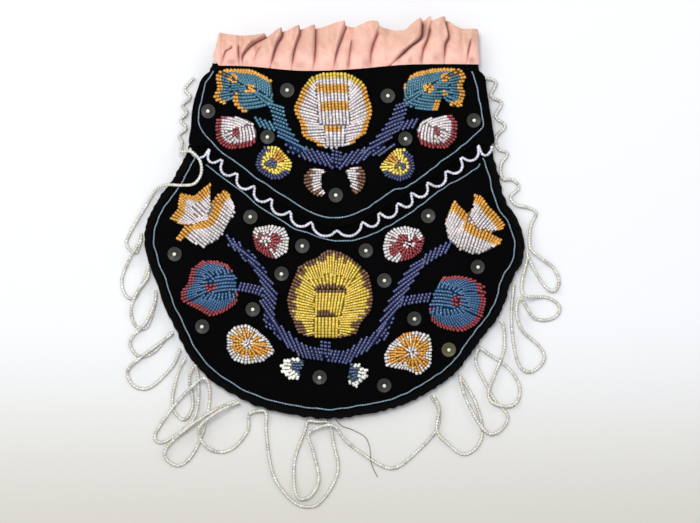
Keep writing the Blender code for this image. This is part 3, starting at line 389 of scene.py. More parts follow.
class BagStage(bpy.types.PropertyGroup):
    """Light and background."""

    floor: colour_value("Floor", "Pale table", (236, 236, 238))
    floor_shade: colour_value("Floor shade", "The table where the light falls off", (206, 202, 192))
    key: bpy.props.FloatProperty(name="Key light", description="Strength of the light from the left",
                                 default=6.4, min=0.0)
    fill: bpy.props.FloatProperty(name="Fill light", description="Strength of the light from the right",
                                  default=3.0, min=0.0)
    overhead: bpy.props.FloatProperty(name="Overhead light", description="Strength of the lamp above",
                                      default=10.5, min=0.0)
    sky: bpy.props.FloatProperty(name="Sky", description="Strength of the light all round",
                                 default=0.45, min=0.0)


def smooth(points, step, closed=False):
    """A curve through the points (Catmull-Rom: each stretch is the cubic whose slope at a point is half
    the way from the point before it to the point after it), read again at even steps."""
    p = np.asarray(points, float)
    if closed:
        p = np.vstack([p[-1:], p, p[:2]])
    else:
        p = np.vstack([2 * p[:1] - p[1:2], p, 2 * p[-1:] - p[-2:-1]])
    t = np.linspace(0, 1, 12, endpoint=False)[None, :, None]
    a, b, c, d = p[:-3, None], p[1:-2, None], p[2:-1, None], p[3:, None]
    curve = 0.5 * (2 * b + (c - a) * t + (2 * a - 5 * b + 4 * c - d) * t**2
                   + (3 * b - a - 3 * c + d) * t**3)
    return even_steps(np.vstack([curve.reshape(-1, p.shape[1]), p[-2:-1]]), step)


def run_lengths(line):
    """How far along a line each of its points lies."""
    return np.concatenate([[0], np.cumsum(np.linalg.norm(np.diff(line, axis=0), axis=1))])


def line_length(line):
    return float(np.linalg.norm(np.diff(line, axis=0), axis=1).sum())


def read_line(line, along, places):
    """The line's points at some distances along it."""
    return np.stack([np.interp(places, along, line[:, k]) for k in range(line.shape[1])], axis=1)


def even_steps(curve, step=None, count=None):
    """The same line read at even distances, of about one step or as a number of points."""
    along = run_lengths(curve)
    if count is None:
        count = max(2, int(round(along[-1] / step)) + 1)
    return read_line(curve, along, np.linspace(0, along[-1], count))


def looped(ring):
    """The ring with its first point once more at its end."""
    return np.vstack([ring, ring[:1]])


def full_turn(count):
    """Angles at even steps round a full turn."""
    return np.arange(count) / count * 2 * np.pi


def side_normals(line):
    """Unit normals to the left of the line's direction, seen from above."""
    run = np.gradient(line[:, :2], axis=0)
    run /= np.linalg.norm(run, axis=1)[:, None]
    return np.stack([-run[:, 1], run[:, 0]], axis=1)


def line_distance(points, line):
    """Distance in plan from each point to the nearest stretch of an open line."""
    a, b = line[None, :-1, :2], line[None, 1:, :2]
    ab = b - a
    span = np.maximum((ab**2).sum(2), 1e-18)
    found = []
    for part in np.array_split(np.asarray(points, float)[:, None, :2], 1 + len(points) // 4000):
        t = np.clip(((part - a) * ab).sum(2) / span, 0, 1)
        found.append(np.linalg.norm(part - a - ab * t[..., None], axis=2).min(axis=1))
    return np.concatenate(found)


def inside(points, ring):
    """Which points lie inside a closed ring, by counting how often a level line crosses it."""
    p = np.asarray(points, float)
    x, y = p[:, None, 0], p[:, None, 1]
    a, b = ring[None], np.roll(ring, -1, axis=0)[None]
    spans = (a[..., 1] > y) != (b[..., 1] > y)
    rise = np.where(spans, b[..., 1] - a[..., 1], 1.0)
    cross = a[..., 0] + (y - a[..., 1]) * (b[..., 0] - a[..., 0]) / rise
    return (spans & (x < cross)).sum(axis=1) % 2 == 1


def swell(share):
    """0 at 0, rising smoothly to 1 at 1: one less the square of what is left."""
    return 1 - (1 - np.clip(share, 0, 1)) ** 2


def eased(share):
    """0 to 1 with a level start and end (3s squared less 2s cubed)."""
    s = np.clip(share, 0, 1)
    return s * s * (3 - 2 * s)


def node_mesh(name):
    """A copy of a CAD node's points and triangles, with the points that coincide made one."""
    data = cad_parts[name].data
    points = np.empty(len(data.vertices) * 3, np.float32)
    data.vertices.foreach_get("co", points)
    points = points.reshape(-1, 3).astype(float)
    data.calc_loop_triangles()
    corners = np.empty(len(data.loop_triangles) * 3, np.int32)
    data.loop_triangles.foreach_get("vertices", corners)
    keys = np.round(points / (0.001 * MM)).astype(np.int64)
    _, first, index = np.unique(keys, axis=0, return_index=True, return_inverse=True)
    faces = index.reshape(-1)[corners].reshape(-1, 3)
    whole = (faces[:, 0] != faces[:, 1]) & (faces[:, 1] != faces[:, 2]) & (faces[:, 0] != faces[:, 2])
    return points[first], faces[whole]


def upper_faces(points, faces):
    """The triangles that look up."""
    corner = points[faces]
    normal = np.cross(corner[:, 1] - corner[:, 0], corner[:, 2] - corner[:, 0])
    return faces[normal[:, 2] > 0.4 * np.linalg.norm(normal, axis=1)]


def upper_points(name):
    """The points on a CAD node's upper side."""
    points, faces = node_mesh(name)
    return points[np.unique(upper_faces(points, faces))]


def outline(name):
    """The ring round a CAD node's upper side, anticlockwise from above: the edges that only one of its
    upward triangles uses, joined end to end."""
    points, faces = node_mesh(name)
    top = upper_faces(points, faces)
    edges = np.concatenate([top[:, [0, 1]], top[:, [1, 2]], top[:, [2, 0]]])
    used = set(map(tuple, edges.tolist()))
    follow = {a: b for a, b in used if (b, a) not in used}
    rings = []
    while follow:
        start, after = follow.popitem()
        ring = [start]
        while after != start and after in follow:
            ring.append(after)
            after = follow.pop(after)
        rings.append(ring)
    return points[max(rings, key=len)]


def steps_from(start, linked):
    """How many edges away from a starting point each point of a mesh is."""
    steps = np.full(len(linked), -1)
    front = np.zeros(len(linked), bool)
    front[start] = True
    count = 0
    while front.any():
        steps[front] = count
        front = linked[front].any(axis=0) & (steps < 0)
        count += 1
    return steps


def tube_line(name):
    """The middle line of a CAD tube: from the point that is most edges away from any other, each ring
    is one edge further along, and the rings' middles make the line."""
    points, faces = node_mesh(name)
    linked = np.zeros((len(points), len(points)), bool)
    for a, b in ((0, 1), (1, 2), (2, 0)):
        linked[faces[:, a], faces[:, b]] = True
        linked[faces[:, b], faces[:, a]] = True
    end = int(steps_from(0, linked).argmax())
    steps = steps_from(end, linked)
    line = np.stack([points[steps == k].mean(axis=0) for k in range(steps.max() + 1)])
    return line if line[0, 0] < line[-1, 0] else line[::-1]


class SewnCloth:
    """The bag's stuffed shape, read from the CAD panels: a cloth rises from its seam to the middle by
    one less the square of what is left of its reach."""

    def __init__(self):
        ring = outline("front_panel")
        left = int(np.argmax(ring[:, 1] - ring[:, 0]))
        right = int(np.argmax(ring[:, 1] + ring[:, 0]))
        count = len(ring)
        below = (np.arange(left, left + (right - left) % count + 1)) % count
        self.ring = ring
        self.seam = smooth(ring[below, :2], 2 * MM)
        self.front = self.level("front_panel", 70 * MM)
        self.back = self.level("back_panel", 25 * MM)
        top = upper_points("flap")
        self.flap_gap = float(np.median(top[:, 2] - self.front_top(top)))

    def depth(self, points):
        """How far in from the seam a point lies."""
        return line_distance(points, self.seam)

    def level(self, name, reach):
        """The height of a panel's upper side at its seam, its rise to the middle, and its reach."""
        top = upper_points(name)
        share = swell(self.depth(top) / reach)
        rise, seam = np.polyfit(share, top[:, 2], 1)
        return float(seam), float(rise), reach

    def height(self, level, points):
        seam, rise, reach = level
        return seam + rise * swell(self.depth(points) / reach)

    def front_top(self, points):
        return self.height(self.front, points)

    def back_top(self, points):
        return self.height(self.back, points)

    def flap_top(self, points):
        return self.front_top(points) + self.flap_gap


CLOTH = SewnCloth()


def beads():
    return bpy.context.scene.bag_beads


def cloths():
    return bpy.context.scene.bag_cloth


def colour_of(name):
    return np.array(getattr(bpy.context.scene.bag_colours, name), float)


def mesh_of(name, points, face_sets, smooth_angle=None):
    """A mesh from whole arrays: each face set is an array with one face's corners in each row. It is
    turned the right way out if its volume comes out negative."""
    points = np.asarray(points, float)
    volume = 0.0
    for faces in face_sets:
        for k in range(1, faces.shape[1] - 1):
            a, b, c = points[faces[:, 0]], points[faces[:, k]], points[faces[:, k + 1]]
            volume += float((a * np.cross(b, c)).sum()) / 6
    if volume < 0:
        face_sets = [faces[:, ::-1] for faces in face_sets]
    corners = np.concatenate([faces.ravel() for faces in face_sets]).astype(np.int32)
    totals = np.concatenate([np.full(len(faces), faces.shape[1]) for faces in face_sets])
    starts = np.concatenate([[0], np.cumsum(totals)[:-1]]).astype(np.int32)
    mesh = bpy.data.meshes.new(name)
    mesh.vertices.add(len(points))
    mesh.vertices.foreach_set("co", points.astype(np.float32).ravel())
    mesh.loops.add(len(corners))
    mesh.loops.foreach_set("vertex_index", corners)
    mesh.polygons.add(len(totals))
    mesh.polygons.foreach_set("loop_start", starts)
    mesh.update(calc_edges=True)
    mesh.shade_smooth()
    if smooth_angle is not None:
        mesh.set_sharp_from_angle(angle=math.radians(smooth_angle))
    return mesh


def put(name, mesh, materials, slot, nodes=()):
    """The mesh as a piece of the bag: it rides on the bag's body and replaces its CAD nodes."""
    piece = bpy.data.objects.new(name, mesh)
    bpy.context.scene.collection.objects.link(piece)
    for coat in materials:
        mesh.materials.append(coat)
    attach(piece, BODY)
    if nodes:
        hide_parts(*nodes)
    return piece


def skin(rows):
    """A closed skin over rows of points: each row is a ring, each ring is joined to the next, and the
    first and last rings are closed by a fan to their middle. Gives points and face sets."""
    count, around = rows.shape[:2]
    points = np.vstack([rows.reshape(-1, 3), rows[0].mean(axis=0), rows[-1].mean(axis=0)])
    ring = np.arange(around)
    after = (ring + 1) % around
    base = (np.arange(count - 1) * around)[:, None]
    quads = np.stack([base + ring, base + after, base + after + around, base + ring + around], axis=2)
    first = np.stack([after, ring, np.full(around, count * around)], axis=1)
    last = np.stack([ring + (count - 1) * around, after + (count - 1) * around,
                     np.full(around, count * around + 1)], axis=1)
    return points, [quads.reshape(-1, 4), np.vstack([first, last])]


BEAD_SIDES = 8
# A bead's section along its hole: (place along, radius), as shares of its length and half its width
BEAD_PROFILE = [(-0.5, 0.86), (-0.38, 1.0), (0.38, 1.0), (0.5, 0.86)]
# Painted light in each bead's tint: the share kept as painted shade at its flanks, and the painted highlight
# and white added up to its crest
PAINTED_FLANK_SHADE, PAINTED_CREST_LIGHT, PAINTED_CREST_WHITE = 0.5, 0.6, 0.035
# How much the tints differ from bead to bead, as shares
LIGHT_SPREAD, HUE_SPREAD = 0.12, 0.12 * 0.3


def bead_shape():
    """One bead of unit size: a short barrel along x, made of rings of the profile's radii."""
    angle = full_turn(BEAD_SIDES)
    profile = np.array(BEAD_PROFILE)
    rows = np.stack([
        np.repeat(profile[:, :1], BEAD_SIDES, axis=1),
        profile[:, 1:] * np.cos(angle) / 2,
        profile[:, 1:] * np.sin(angle) / 2,
    ], axis=2)
    return skin(rows)


def bead_shapes(centres, along, widths, lengths, tints):
    """Many beads: the same barrel set at each centre, turned so that its hole lies along the thread,
    and scaled to its own width and length. Gives points, face sets and the tint of each point. Light and
    shade are painted into the tint: it is scaled by the flank shade plus the crest light times s, and the
    crest white times s is added, where s is the square of the height over the thread as a share of half
    the width. So each bead has a painted highlight on its crest and painted shade on its flanks."""
    shape, face_sets = bead_shape()
    t = along / np.linalg.norm(along, axis=1)[:, None]
    up = np.tile([0.0, 0.0, 1.0], (len(t), 1))
    up[np.abs(t[:, 2]) > 0.95] = (1.0, 0.0, 0.0)
    side = np.cross(up, t)
    side /= np.linalg.norm(side, axis=1)[:, None]
    top = np.cross(t, side)
    turn = np.random.default_rng(len(centres)).uniform(0, np.pi, len(centres))[:, None]
    side, top = side * np.cos(turn) + top * np.sin(turn), top * np.cos(turn) - side * np.sin(turn)
    size_along, size_across = lengths[:, None, None], widths[:, None, None]
    points = (centres[:, None] + t[:, None] * shape[None, :, :1] * size_along
              + side[:, None] * shape[None, :, 1:2] * size_across
              + top[:, None] * shape[None, :, 2:] * size_across)
    offset = (np.arange(len(centres)) * len(shape))[:, None, None]
    sets = [(faces[None] + offset).reshape(-1, faces.shape[1]) for faces in face_sets]
    # Painted highlight: the share of painted light grows with the height over the thread
    crest = np.clip((points[..., 2] - centres[:, None, 2]) / (widths[:, None] / 2), 0, 1)[..., None] ** 2
    shades = tints[:, None] * (PAINTED_FLANK_SHADE + PAINTED_CREST_LIGHT * crest) + PAINTED_CREST_WHITE * crest
    return points.reshape(-1, 3), sets, shades.reshape(-1, 3)


def tint_mesh(mesh, tints):
    """Keep each point's tint as an attribute that the materials read."""
    tint = mesh.attributes.new("tint", "FLOAT_COLOR", "POINT")
    values = np.concatenate([tints, np.ones((len(tints), 1))], axis=1)
    tint.data.foreach_set("color", values.astype(np.float32).ravel())


def varied(tints, seed):
    """The tints with each bead a little lighter or darker, and a little warmer or cooler, than the next."""
    rng = np.random.default_rng(seed)
    light = rng.normal(1.0, LIGHT_SPREAD, (len(tints), 1))
    hue = rng.normal(1.0, HUE_SPREAD, tints.shape)
    return np.clip(tints * light * hue, 0.0, 1.0)


def threaded(line, pitch):
    """Beads threaded along a line: the middle of each, and the direction of the thread there."""
    along = run_lengths(line)
    count = max(1, int(along[-1] / pitch))
    places = (np.arange(count) + 0.5) * along[-1] / count
    before, after = np.maximum(places - pitch / 2, 0), np.minimum(places + pitch / 2, along[-1])
    ahead = read_line(line, along, after) - read_line(line, along, before)
    return read_line(line, along, places), ahead


def string_of_beads(name, line, width, pitch, colour, coat, slot, seed):
    """One string of beads as a piece."""
    centres, ahead = threaded(line, pitch)
    rng = np.random.default_rng(seed)
    widths = width * rng.uniform(0.9, 1.0, len(centres))
    lengths = np.full(len(centres), pitch * 0.98)
    tints = varied(np.tile(colour_of(colour), (len(centres), 1)), seed)
    points, face_sets, shades = bead_shapes(centres, ahead, widths, lengths, tints)
    mesh = mesh_of(name, points, face_sets)
    tint_mesh(mesh, shades)
    return put(name + "_strand", mesh, [coat], slot, [name])


def coat_of(name, dress, **values):
    """The material of that name, dressed the first time that it is needed."""
    coat = bpy.data.materials.get(name)
    if coat is None:
        coat = bpy.data.materials.new(name)
        coat.use_nodes = True
        dress(coat.node_tree, coat.node_tree.nodes["Principled BSDF"], **values)
    return coat


def node(tree, kind, **values):
    made = tree.nodes.new(kind)
    for key, value in values.items():
        setattr(made, key, value)
    return made


def set_inputs(made, **values):
    """Set sockets by their names, with _ for each space."""
    for key, value in values.items():
        made.inputs[key.replace("_", " ")].default_value = value


def join(tree, *pairs):
    """Link outputs to inputs, given in pairs."""
    for source, target in pairs:
        tree.links.new(source, target)


def new_group(name, inputs, outputs):
    """A shader node group with named inputs (name, kind, value) and outputs (name, kind)."""
    tree = bpy.data.node_groups.new(name, "ShaderNodeTree")
    for label, kind, value in inputs:
        made = tree.interface.new_socket(label, in_out="INPUT", socket_type=kind)
        made.default_value = value
    for label, kind in outputs:
        tree.interface.new_socket(label, in_out="OUTPUT", socket_type=kind)
    return tree, tree.nodes.new("NodeGroupInput"), tree.nodes.new("NodeGroupOutput")


def mottle_group(name):
    """Noise that makes a colour lighter and darker over a surface: the colour is scaled by 1 plus the
    amount times what the noise is over a half."""
    tree, given, out = new_group(
        name,
        [("Colour", "NodeSocketColor", (0.5, 0.5, 0.5, 1)), ("Scale", "NodeSocketFloat", 200.0),
         ("Amount", "NodeSocketFloat", 0.3)],
        [("Colour", "NodeSocketColor"), ("Mask", "NodeSocketFloat")])
    place = node(tree, "ShaderNodeTexCoord")
    noise = node(tree, "ShaderNodeTexNoise")
    set_inputs(noise, Detail=4.0, Roughness=0.6)
    spread = node(tree, "ShaderNodeMath", operation="SUBTRACT")
    spread.inputs[1].default_value = 0.5
    strength = node(tree, "ShaderNodeMath", operation="MULTIPLY_ADD")
    strength.inputs[2].default_value = 1.0
    scaled = node(tree, "ShaderNodeVectorMath", operation="SCALE")
    join(tree,
         (place.outputs["Object"], noise.inputs["Vector"]),
         (given.outputs["Scale"], noise.inputs["Scale"]),
         (noise.outputs["Fac"], spread.inputs[0]),
         (spread.outputs[0], strength.inputs[0]),
         (given.outputs["Amount"], strength.inputs[1]),
         (given.outputs["Colour"], scaled.inputs[0]),
         (strength.outputs[0], scaled.inputs["Scale"]),
         (scaled.outputs[0], out.inputs["Colour"]),
         (noise.outputs["Fac"], out.inputs["Mask"]))
    return tree


def weave_group(name):
    """A plain weave: two waves of threads at right angles, added up."""
    tree, given, out = new_group(
        name, [("Scale", "NodeSocketFloat", 1500.0)], [("Height", "NodeSocketFloat")])
    place = node(tree, "ShaderNodeTexCoord")
    both = node(tree, "ShaderNodeMath", operation="ADD")
    for side, direction in enumerate(("X", "Y")):
        wave = node(tree, "ShaderNodeTexWave", bands_direction=direction)
        set_inputs(wave, Distortion=1.2, Detail=1.0, Detail_Scale=2.0)
        join(tree,
             (place.outputs["Object"], wave.inputs["Vector"]),
             (given.outputs["Scale"], wave.inputs["Scale"]),
             (wave.outputs["Fac"], both.inputs[side]))
    join(tree, (both.outputs[0], out.inputs["Height"]))
    return tree


def add_group(tree, name, build, **values):
    """A node group placed in a material with its own values, and built the first time."""
    placed = node(tree, "ShaderNodeGroup")
    placed.node_tree = bpy.data.node_groups.get(name) or build(name)
    set_inputs(placed, **values)
    return placed


def mottled(tree, **values):
    return add_group(tree, "Mottle", mottle_group, **values)


def woven(tree, scale):
    return add_group(tree, "Weave", weave_group, Scale=scale).outputs["Height"]


def tinted(tree, target):
    """The mesh's own tint, read into a socket."""
    tint = node(tree, "ShaderNodeAttribute", attribute_name="tint")
    join(tree, (tint.outputs["Color"], target))


def bump(tree, height, strength, distance, over):
    """A Bump node from a height to the normal of a shader or of a finer bump."""
    made = node(tree, "ShaderNodeBump")
    set_inputs(made, Strength=strength, Distance=distance)
    join(tree, (height, made.inputs["Height"]), (made.outputs["Normal"], over.inputs["Normal"]))
    return made


def glass(tree, face, roughness, clear=0.0, speckle=0.35):
    """Glass beads: each bead's own tint with its painted highlight and shade, mottled, under a hard gloss.
    """
    mottle = mottled(tree, Scale=900.0, Amount=speckle)
    tinted(tree, mottle.inputs["Colour"])
    join(tree, (mottle.outputs["Colour"], face.inputs["Base Color"]))
    bump(tree, mottle.outputs["Mask"], 0.15, 0.1 * MM, face)
    set_inputs(face, Roughness=roughness, IOR=1.5, Specular_IOR_Level=0.12, Coat_Weight=0.85,
               Coat_Roughness=0.1, Transmission_Weight=clear)


def padding_with_painted_shade(tree, face):
    """Thread and padding between the beads, in a dark tint of the beads over it: partly their own
    colour, partly painted shade between the lanes.
    """
    tinted(tree, face.inputs["Base Color"])
    set_inputs(face, Roughness=0.8, Specular_IOR_Level=0.1)


def black_velvet(tree, face):
    """Black velvet: short pile with a faint sheen, thinned and dusty in places."""
    worn = mottled(tree, Colour=(*cloths().velvet_colour, 1.0), Scale=60.0, Amount=1.6)
    pile = mottled(tree, Scale=2200.0, Amount=1.2)
    join(tree,
         (worn.outputs["Colour"], pile.inputs["Colour"]),
         (pile.outputs["Colour"], face.inputs["Base Color"]))
    bump(tree, pile.outputs["Mask"], 0.5, 0.3 * MM, face)
    set_inputs(face, Roughness=0.95, Sheen_Weight=0.02, Sheen_Roughness=0.4, Specular_IOR_Level=0.04)


def cotton(tree, face, colour, scale, sheen=0.1, gloss=0.5):
    """Plain woven cotton or tape."""
    mottle = mottled(tree, Colour=(*colour, 1.0), Scale=150.0, Amount=0.5)
    join(tree, (mottle.outputs["Colour"], face.inputs["Base Color"]))
    bump(tree, woven(tree, scale), 0.5, 0.15 * MM, face)
    set_inputs(face, Roughness=0.85, Sheen_Weight=sheen, Specular_IOR_Level=gloss)


def pink_silk(tree, face):
    """Pink silk in its mesh's tints: a fine weave with a soft lustre over soft crumples."""
    threads = mottled(tree, Scale=700.0, Amount=0.3)
    tinted(tree, threads.inputs["Colour"])
    join(tree, (threads.outputs["Colour"], face.inputs["Base Color"]))
    fine = bump(tree, woven(tree, 1400.0), 0.25, 0.08 * MM, face)
    crumple = mottled(tree, Scale=110.0, Amount=1.0)
    bump(tree, crumple.outputs["Mask"], 0.7, 0.7 * MM, fine)
    set_inputs(face, Roughness=0.38, Sheen_Weight=0.25, Sheen_Tint=(1.0, 0.8, 0.75, 1.0))


def sequin(tree, face, colour):
    """A stamped sequin, mottled and a little rough."""
    mottle = mottled(tree, Colour=(*colour, 1.0), Scale=500.0, Amount=0.8)
    join(tree, (mottle.outputs["Colour"], face.inputs["Base Color"]))
    bump(tree, mottle.outputs["Mask"], 0.2, 0.05 * MM, face)
    set_inputs(face, Roughness=0.6, Metallic=0.1, Coat_Weight=0.05)


# How wide the edge of a cut cloth is rounded
VELVET_EDGE = 0.7 * MM
LINING_EDGE = 0.3 * MM


def cloth_sheet(name, ring, top, under, coat, slot, rounding, rows=44, around=280):
    """A cut cloth as a closed skin. A point is the outline's point drawn towards the middle by v, with
    rings closer together near the edge (v is 1 less the square of what is left). The upper and under
    sides come from their own height functions, and at the edge both curve to meet half-way: the drop
    is half the thickness times 1 less the root of 1 less the square of what is left of the rounding."""
    edge = even_steps(smooth(ring[:, :2], 1.0 * MM, closed=True), count=around + 1)[:-1]
    middle = (edge.min(axis=0) + edge.max(axis=0)) / 2
    share = 1 - (1 - np.linspace(0.02, 1, rows)) ** 2
    plan = middle + (edge[None] - middle) * share[:, None, None]
    flat = plan.reshape(-1, 2)
    left = np.clip(1 - line_distance(flat, looped(edge)) / rounding, 0, 1)
    drop = 1 - np.sqrt(np.clip(1 - left**2, 0, 1))
    drop[-around:] = 1.0
    high, low = top(flat), under(flat)
    half = (high - low) / 2
    upper = np.column_stack([flat, high - half * drop]).reshape(rows, around, 3)
    lower = np.column_stack([flat, low + half * drop]).reshape(rows, around, 3)
    points, face_sets = skin(np.concatenate([upper, lower[-2::-1]]))
    return put(name + "_cloth", mesh_of(name, points, face_sets), [coat], slot, [name])


def ripple(x, y, size, length):
    """Soft unevenness: the mean of three sine waves that run in different directions."""
    x, y = x / length, y / length
    return size * (np.sin(6.3 * x + 2.1 * y) + np.sin(5.1 * y - 3.3 * x + 1.0)
                   + np.sin(9.2 * x * 0.7 + 8.4 * y + 2.0)) / 3


def sheet_size(ring):
    """Width, length and area of a flat cut."""
    low, high = ring[:, :2].min(axis=0), ring[:, :2].max(axis=0)
    x, y = ring[:, 0], ring[:, 1]
    area = abs(float((x * np.roll(y, -1) - y * np.roll(x, -1)).sum())) / 2
    return (float(high[0] - low[0]), float(high[1] - low[1])), area


# The least height of the back over the table
TABLE_GAP = 0.02 * MM


def velvet_panel(name, level, wave, length, thickness):
    """One velvet panel on its level, with a soft wave of that size and length. Gives the piece, its
    flat size and its area."""
    ring = outline(name)

    def top(places):
        return level(places) + ripple(places[:, 0], places[:, 1], wave, length)

    def under(places):
        return np.maximum(level(places) - thickness, TABLE_GAP)

    coat = coat_of("black_velvet", black_velvet)
    return cloth_sheet(name, ring, top, under, coat, "velvet", VELVET_EDGE), *sheet_size(ring)


def make_velvet():
    """Front, back and flap."""
    thick = cloths().velvet
    for name, level, wave in (("back_panel", CLOTH.back_top, 0.0), ("front_panel", CLOTH.front_top, 0.1)):
        piece, flat, area = velvet_panel(name, level, wave * MM, 60 * MM, thick)
    piece, flat, area = velvet_panel("flap", CLOTH.flap_top, 0.12 * MM, 50 * MM, cloths().flap)


def make_linings():
    """Plain cotton inside the pouch, one lining to each panel."""
    coat = coat_of("lining_cotton", cotton, colour=cloths().lining_colour, scale=1200.0)
    for name, level in (("back_lining", CLOTH.back_top), ("front_lining", CLOTH.front_top)):
        ring = outline(name)
        upper = upper_points(name)
        gap = float(np.median(upper[:, 2] - level(upper)))

        def top(places, level=level, gap=gap):
            return level(places) + gap

        def under(places, level=level, gap=gap):
            return level(places) + gap - cloths().lining

        piece = cloth_sheet(name, ring, top, under, coat, "lining", LINING_EDGE, rows=20, around=160)
        flat, area = sheet_size(ring)


# The folded tape's section: (inward from the panel's edge, 0 for the back and 1 for the front, lift),
# in millimetres, round the outside and back along the inside
BINDING_SECTION = [
    (2.2, 0, -0.78), (0.6, 0, -0.8), (-0.3, 0, -0.72), (-0.68, 0, -0.3), (-0.8, 0, 0.3),
    (-0.8, 1, -0.3), (-0.68, 1, 0.3), (-0.3, 1, 0.72), (0.6, 1, 0.8), (1.6, 1, 0.8), (2.2, 1, 0.7),
    (2.2, 1, 0.3), (0.3, 1, 0.3), (-0.22, 1, 0.1), (-0.3, 1, -0.3), (-0.3, 0, 0.3), (-0.22, 0, -0.1),
    (0.3, 0, -0.3), (2.2, 0, -0.3),
]


def make_binding():
    """Black tape folded over the seam: its section is carried along the panels' edge, and its lips
    draw in a little at each stitch."""
    line = even_steps(CLOTH.seam, 0.8 * MM)
    inward = side_normals(line)
    if not inside(line[50:51] + inward[50:51] * MM, CLOTH.ring[:, :2])[0]:
        inward = -inward
    stitches = 0.12 * np.sin(np.arange(len(line)) * 1.9)
    lumps = ripple(line[:, 0], line[:, 1], 0.4, 5 * MM)
    rows = []
    for reach, side, lift in BINDING_SECTION:
        plan = line + inward * ((reach + (stitches if reach > 1 else lumps)) * MM)[:, None]
        level = CLOTH.front_top(line) if side else CLOTH.back_top(line) - cloths().velvet
        rows.append(np.column_stack([plan, level + lift * MM]))
    points, face_sets = skin(np.stack(rows, axis=1))
    coat = coat_of("binding_tape", cotton, colour=tone(4, 4, 5), scale=1600.0, sheen=0.02, gloss=0.05)
    piece = put("edge_binding_tape", mesh_of("edge_binding", points, face_sets, 50), [coat], "binding",
                ["edge_binding"])
    line_length(line)


# The height of a strand's middle at the seam, and how far from the seam it reaches the table
SEAM_LIFT = 2.8 * MM
SEAM_REACH = 9 * MM
# How far from the strand that it passes over a strand begins to rise, and over what distance it rises
HUMP_REACH, HUMP_SLOPE = 9 * MM, 6 * MM


def rest_height(points):
    """Height of a strand's middle on the table, rising to the seam's middle close to the bag."""
    radius = beads().fringe / 2
    away = np.where(inside(points, CLOTH.ring[:, :2]), 0.0,
                    np.maximum(line_distance(points, CLOTH.seam) - 0.8 * MM, 0.0))
    return radius + (SEAM_LIFT - radius) * eased(1 - away / SEAM_REACH)


def laid_fringe():
    """Each strand's line: it lies on the table and passes over what already lies there in long low
    humps, a bead and a little more above it."""
    lift = beads().fringe + 0.3 * MM
    step = 1.5 * MM
    skip = int(14 * MM / step)
    laid = np.zeros((0, 3))
    lines = {}
    for name, route in FRINGE_ROUTES.items():
        flat = (np.array([p[:2] for p in route], float) - PATTERN_CENTRE) * MM
        over = np.array([p[2] if len(p) > 2 else 0.0 for p in route]) * MM
        fine = smooth(np.column_stack([flat, over]), step)
        strand = np.column_stack([fine[:, :2], np.maximum(rest_height(fine[:, :2]), fine[:, 2])])
        for index in range(len(strand)):
            others = np.vstack([laid, strand[:max(0, index - skip)]])
            if len(others):
                far = np.linalg.norm(others[:, :2] - strand[index, :2], axis=1)
                share = eased((HUMP_REACH - far) / HUMP_SLOPE)
                want = strand[index, 2] * (1 - share) + (others[:, 2] + lift) * share
                strand[index, 2] = max(strand[index, 2], want.max())
        laid = np.vstack([laid, strand])
        lines[name] = strand
    return lines


def make_fringe():
    """Strands of clear beads, sewn to the seam and hanging in loops."""
    width = beads().fringe
    coat = coat_of("clear_beads", glass, roughness=0.12, clear=0.3, speckle=0.15)
    for seed, (name, line) in enumerate(laid_fringe().items()):
        piece = string_of_beads(name, line, width, 1.3 * MM, "fringe", coat, "fringe_beads", seed)
        line_length(line)


# A loose thread at the foot of the bag: its line in millimetres from the pattern's centre, with its
# height, where it lies over a strand of the fringe
LOOSE_THREAD = [
    (0.6, -86.8, 1.9), (3.5, -90, 1.6), (8, -91.7, 0.8), (13.7, -95, 0.3), (15.6, -99, 1.4),
    (16.1, -102.5, 2.1), (16.2, -105.5, 1.2), (17.4, -109, 0.3), (19.2, -112.4, 0.2),
]
THREAD_SIDES = 6
THREAD_WIDTH = 0.3 * MM


def make_thread():
    """The loose thread: a round section, upright and square to the line, carried along it."""
    line = smooth((np.array(LOOSE_THREAD) - (*PATTERN_CENTRE, 0)) * MM, 0.5 * MM)
    angle = full_turn(THREAD_SIDES)
    side = side_normals(line)[:, None] * (np.cos(angle)[:, None] * THREAD_WIDTH / 2)
    level = line[:, None, 2:] + np.sin(angle)[:, None] * THREAD_WIDTH / 2
    rows = np.concatenate([line[:, None, :2] + side, level], axis=2)
    coat = coat_of("brown_thread", cotton, colour=tone(120, 100, 76), scale=4000.0)
    piece = put("loose_thread", mesh_of("loose_thread", *skin(rows)), [coat], "lining")
    line_length(line)


def make_lines():
    """Thin lines of pale beads sewn flat on the velvet."""
    coat = coat_of("line_glass", glass, roughness=0.25)
    width = beads().line
    for seed, name in enumerate(("flap_border_line", "panel_border_line", "panel_inner_line"), 20):
        line = smooth(tube_line(name), 0.5 * MM)
        line[:, :2] += side_normals(line) * ripple(line[:, 0], line[:, 1], 0.25 * MM, 9 * MM)[:, None]
        level = CLOTH.flap_top if name.startswith("flap") else CLOTH.front_top
        line[:, 2] = level(line) + 0.3 * MM + width / 2
        string_of_beads(name, line, width, 1.0 * MM, "line", coat, "line_beads", seed)


def make_scallops():
    """White bead edging that hooks along the flap's edge."""
    coat = coat_of("edging_glass", glass, roughness=0.2)
    line = smooth(tube_line("flap_scallops"), 0.5 * MM)
    string_of_beads("flap_scallops", line, beads().edging, 1.25 * MM, "edging", coat, "edging_beads", 31)


def in_box(points, low, high, mirrored):
    """Shares of a node's box turned into places in metres."""
    shares = np.array(points, float)
    if mirrored:
        shares[:, 0] = 1 - shares[:, 0]
    return low + shares * (high - low)


# Lanes that run together are thinned where they come closer than this share of a pitch, and a lane's
# beads fill this share of its room
LEAST_ROOM = 0.58
BEAD_SHARE = 0.9


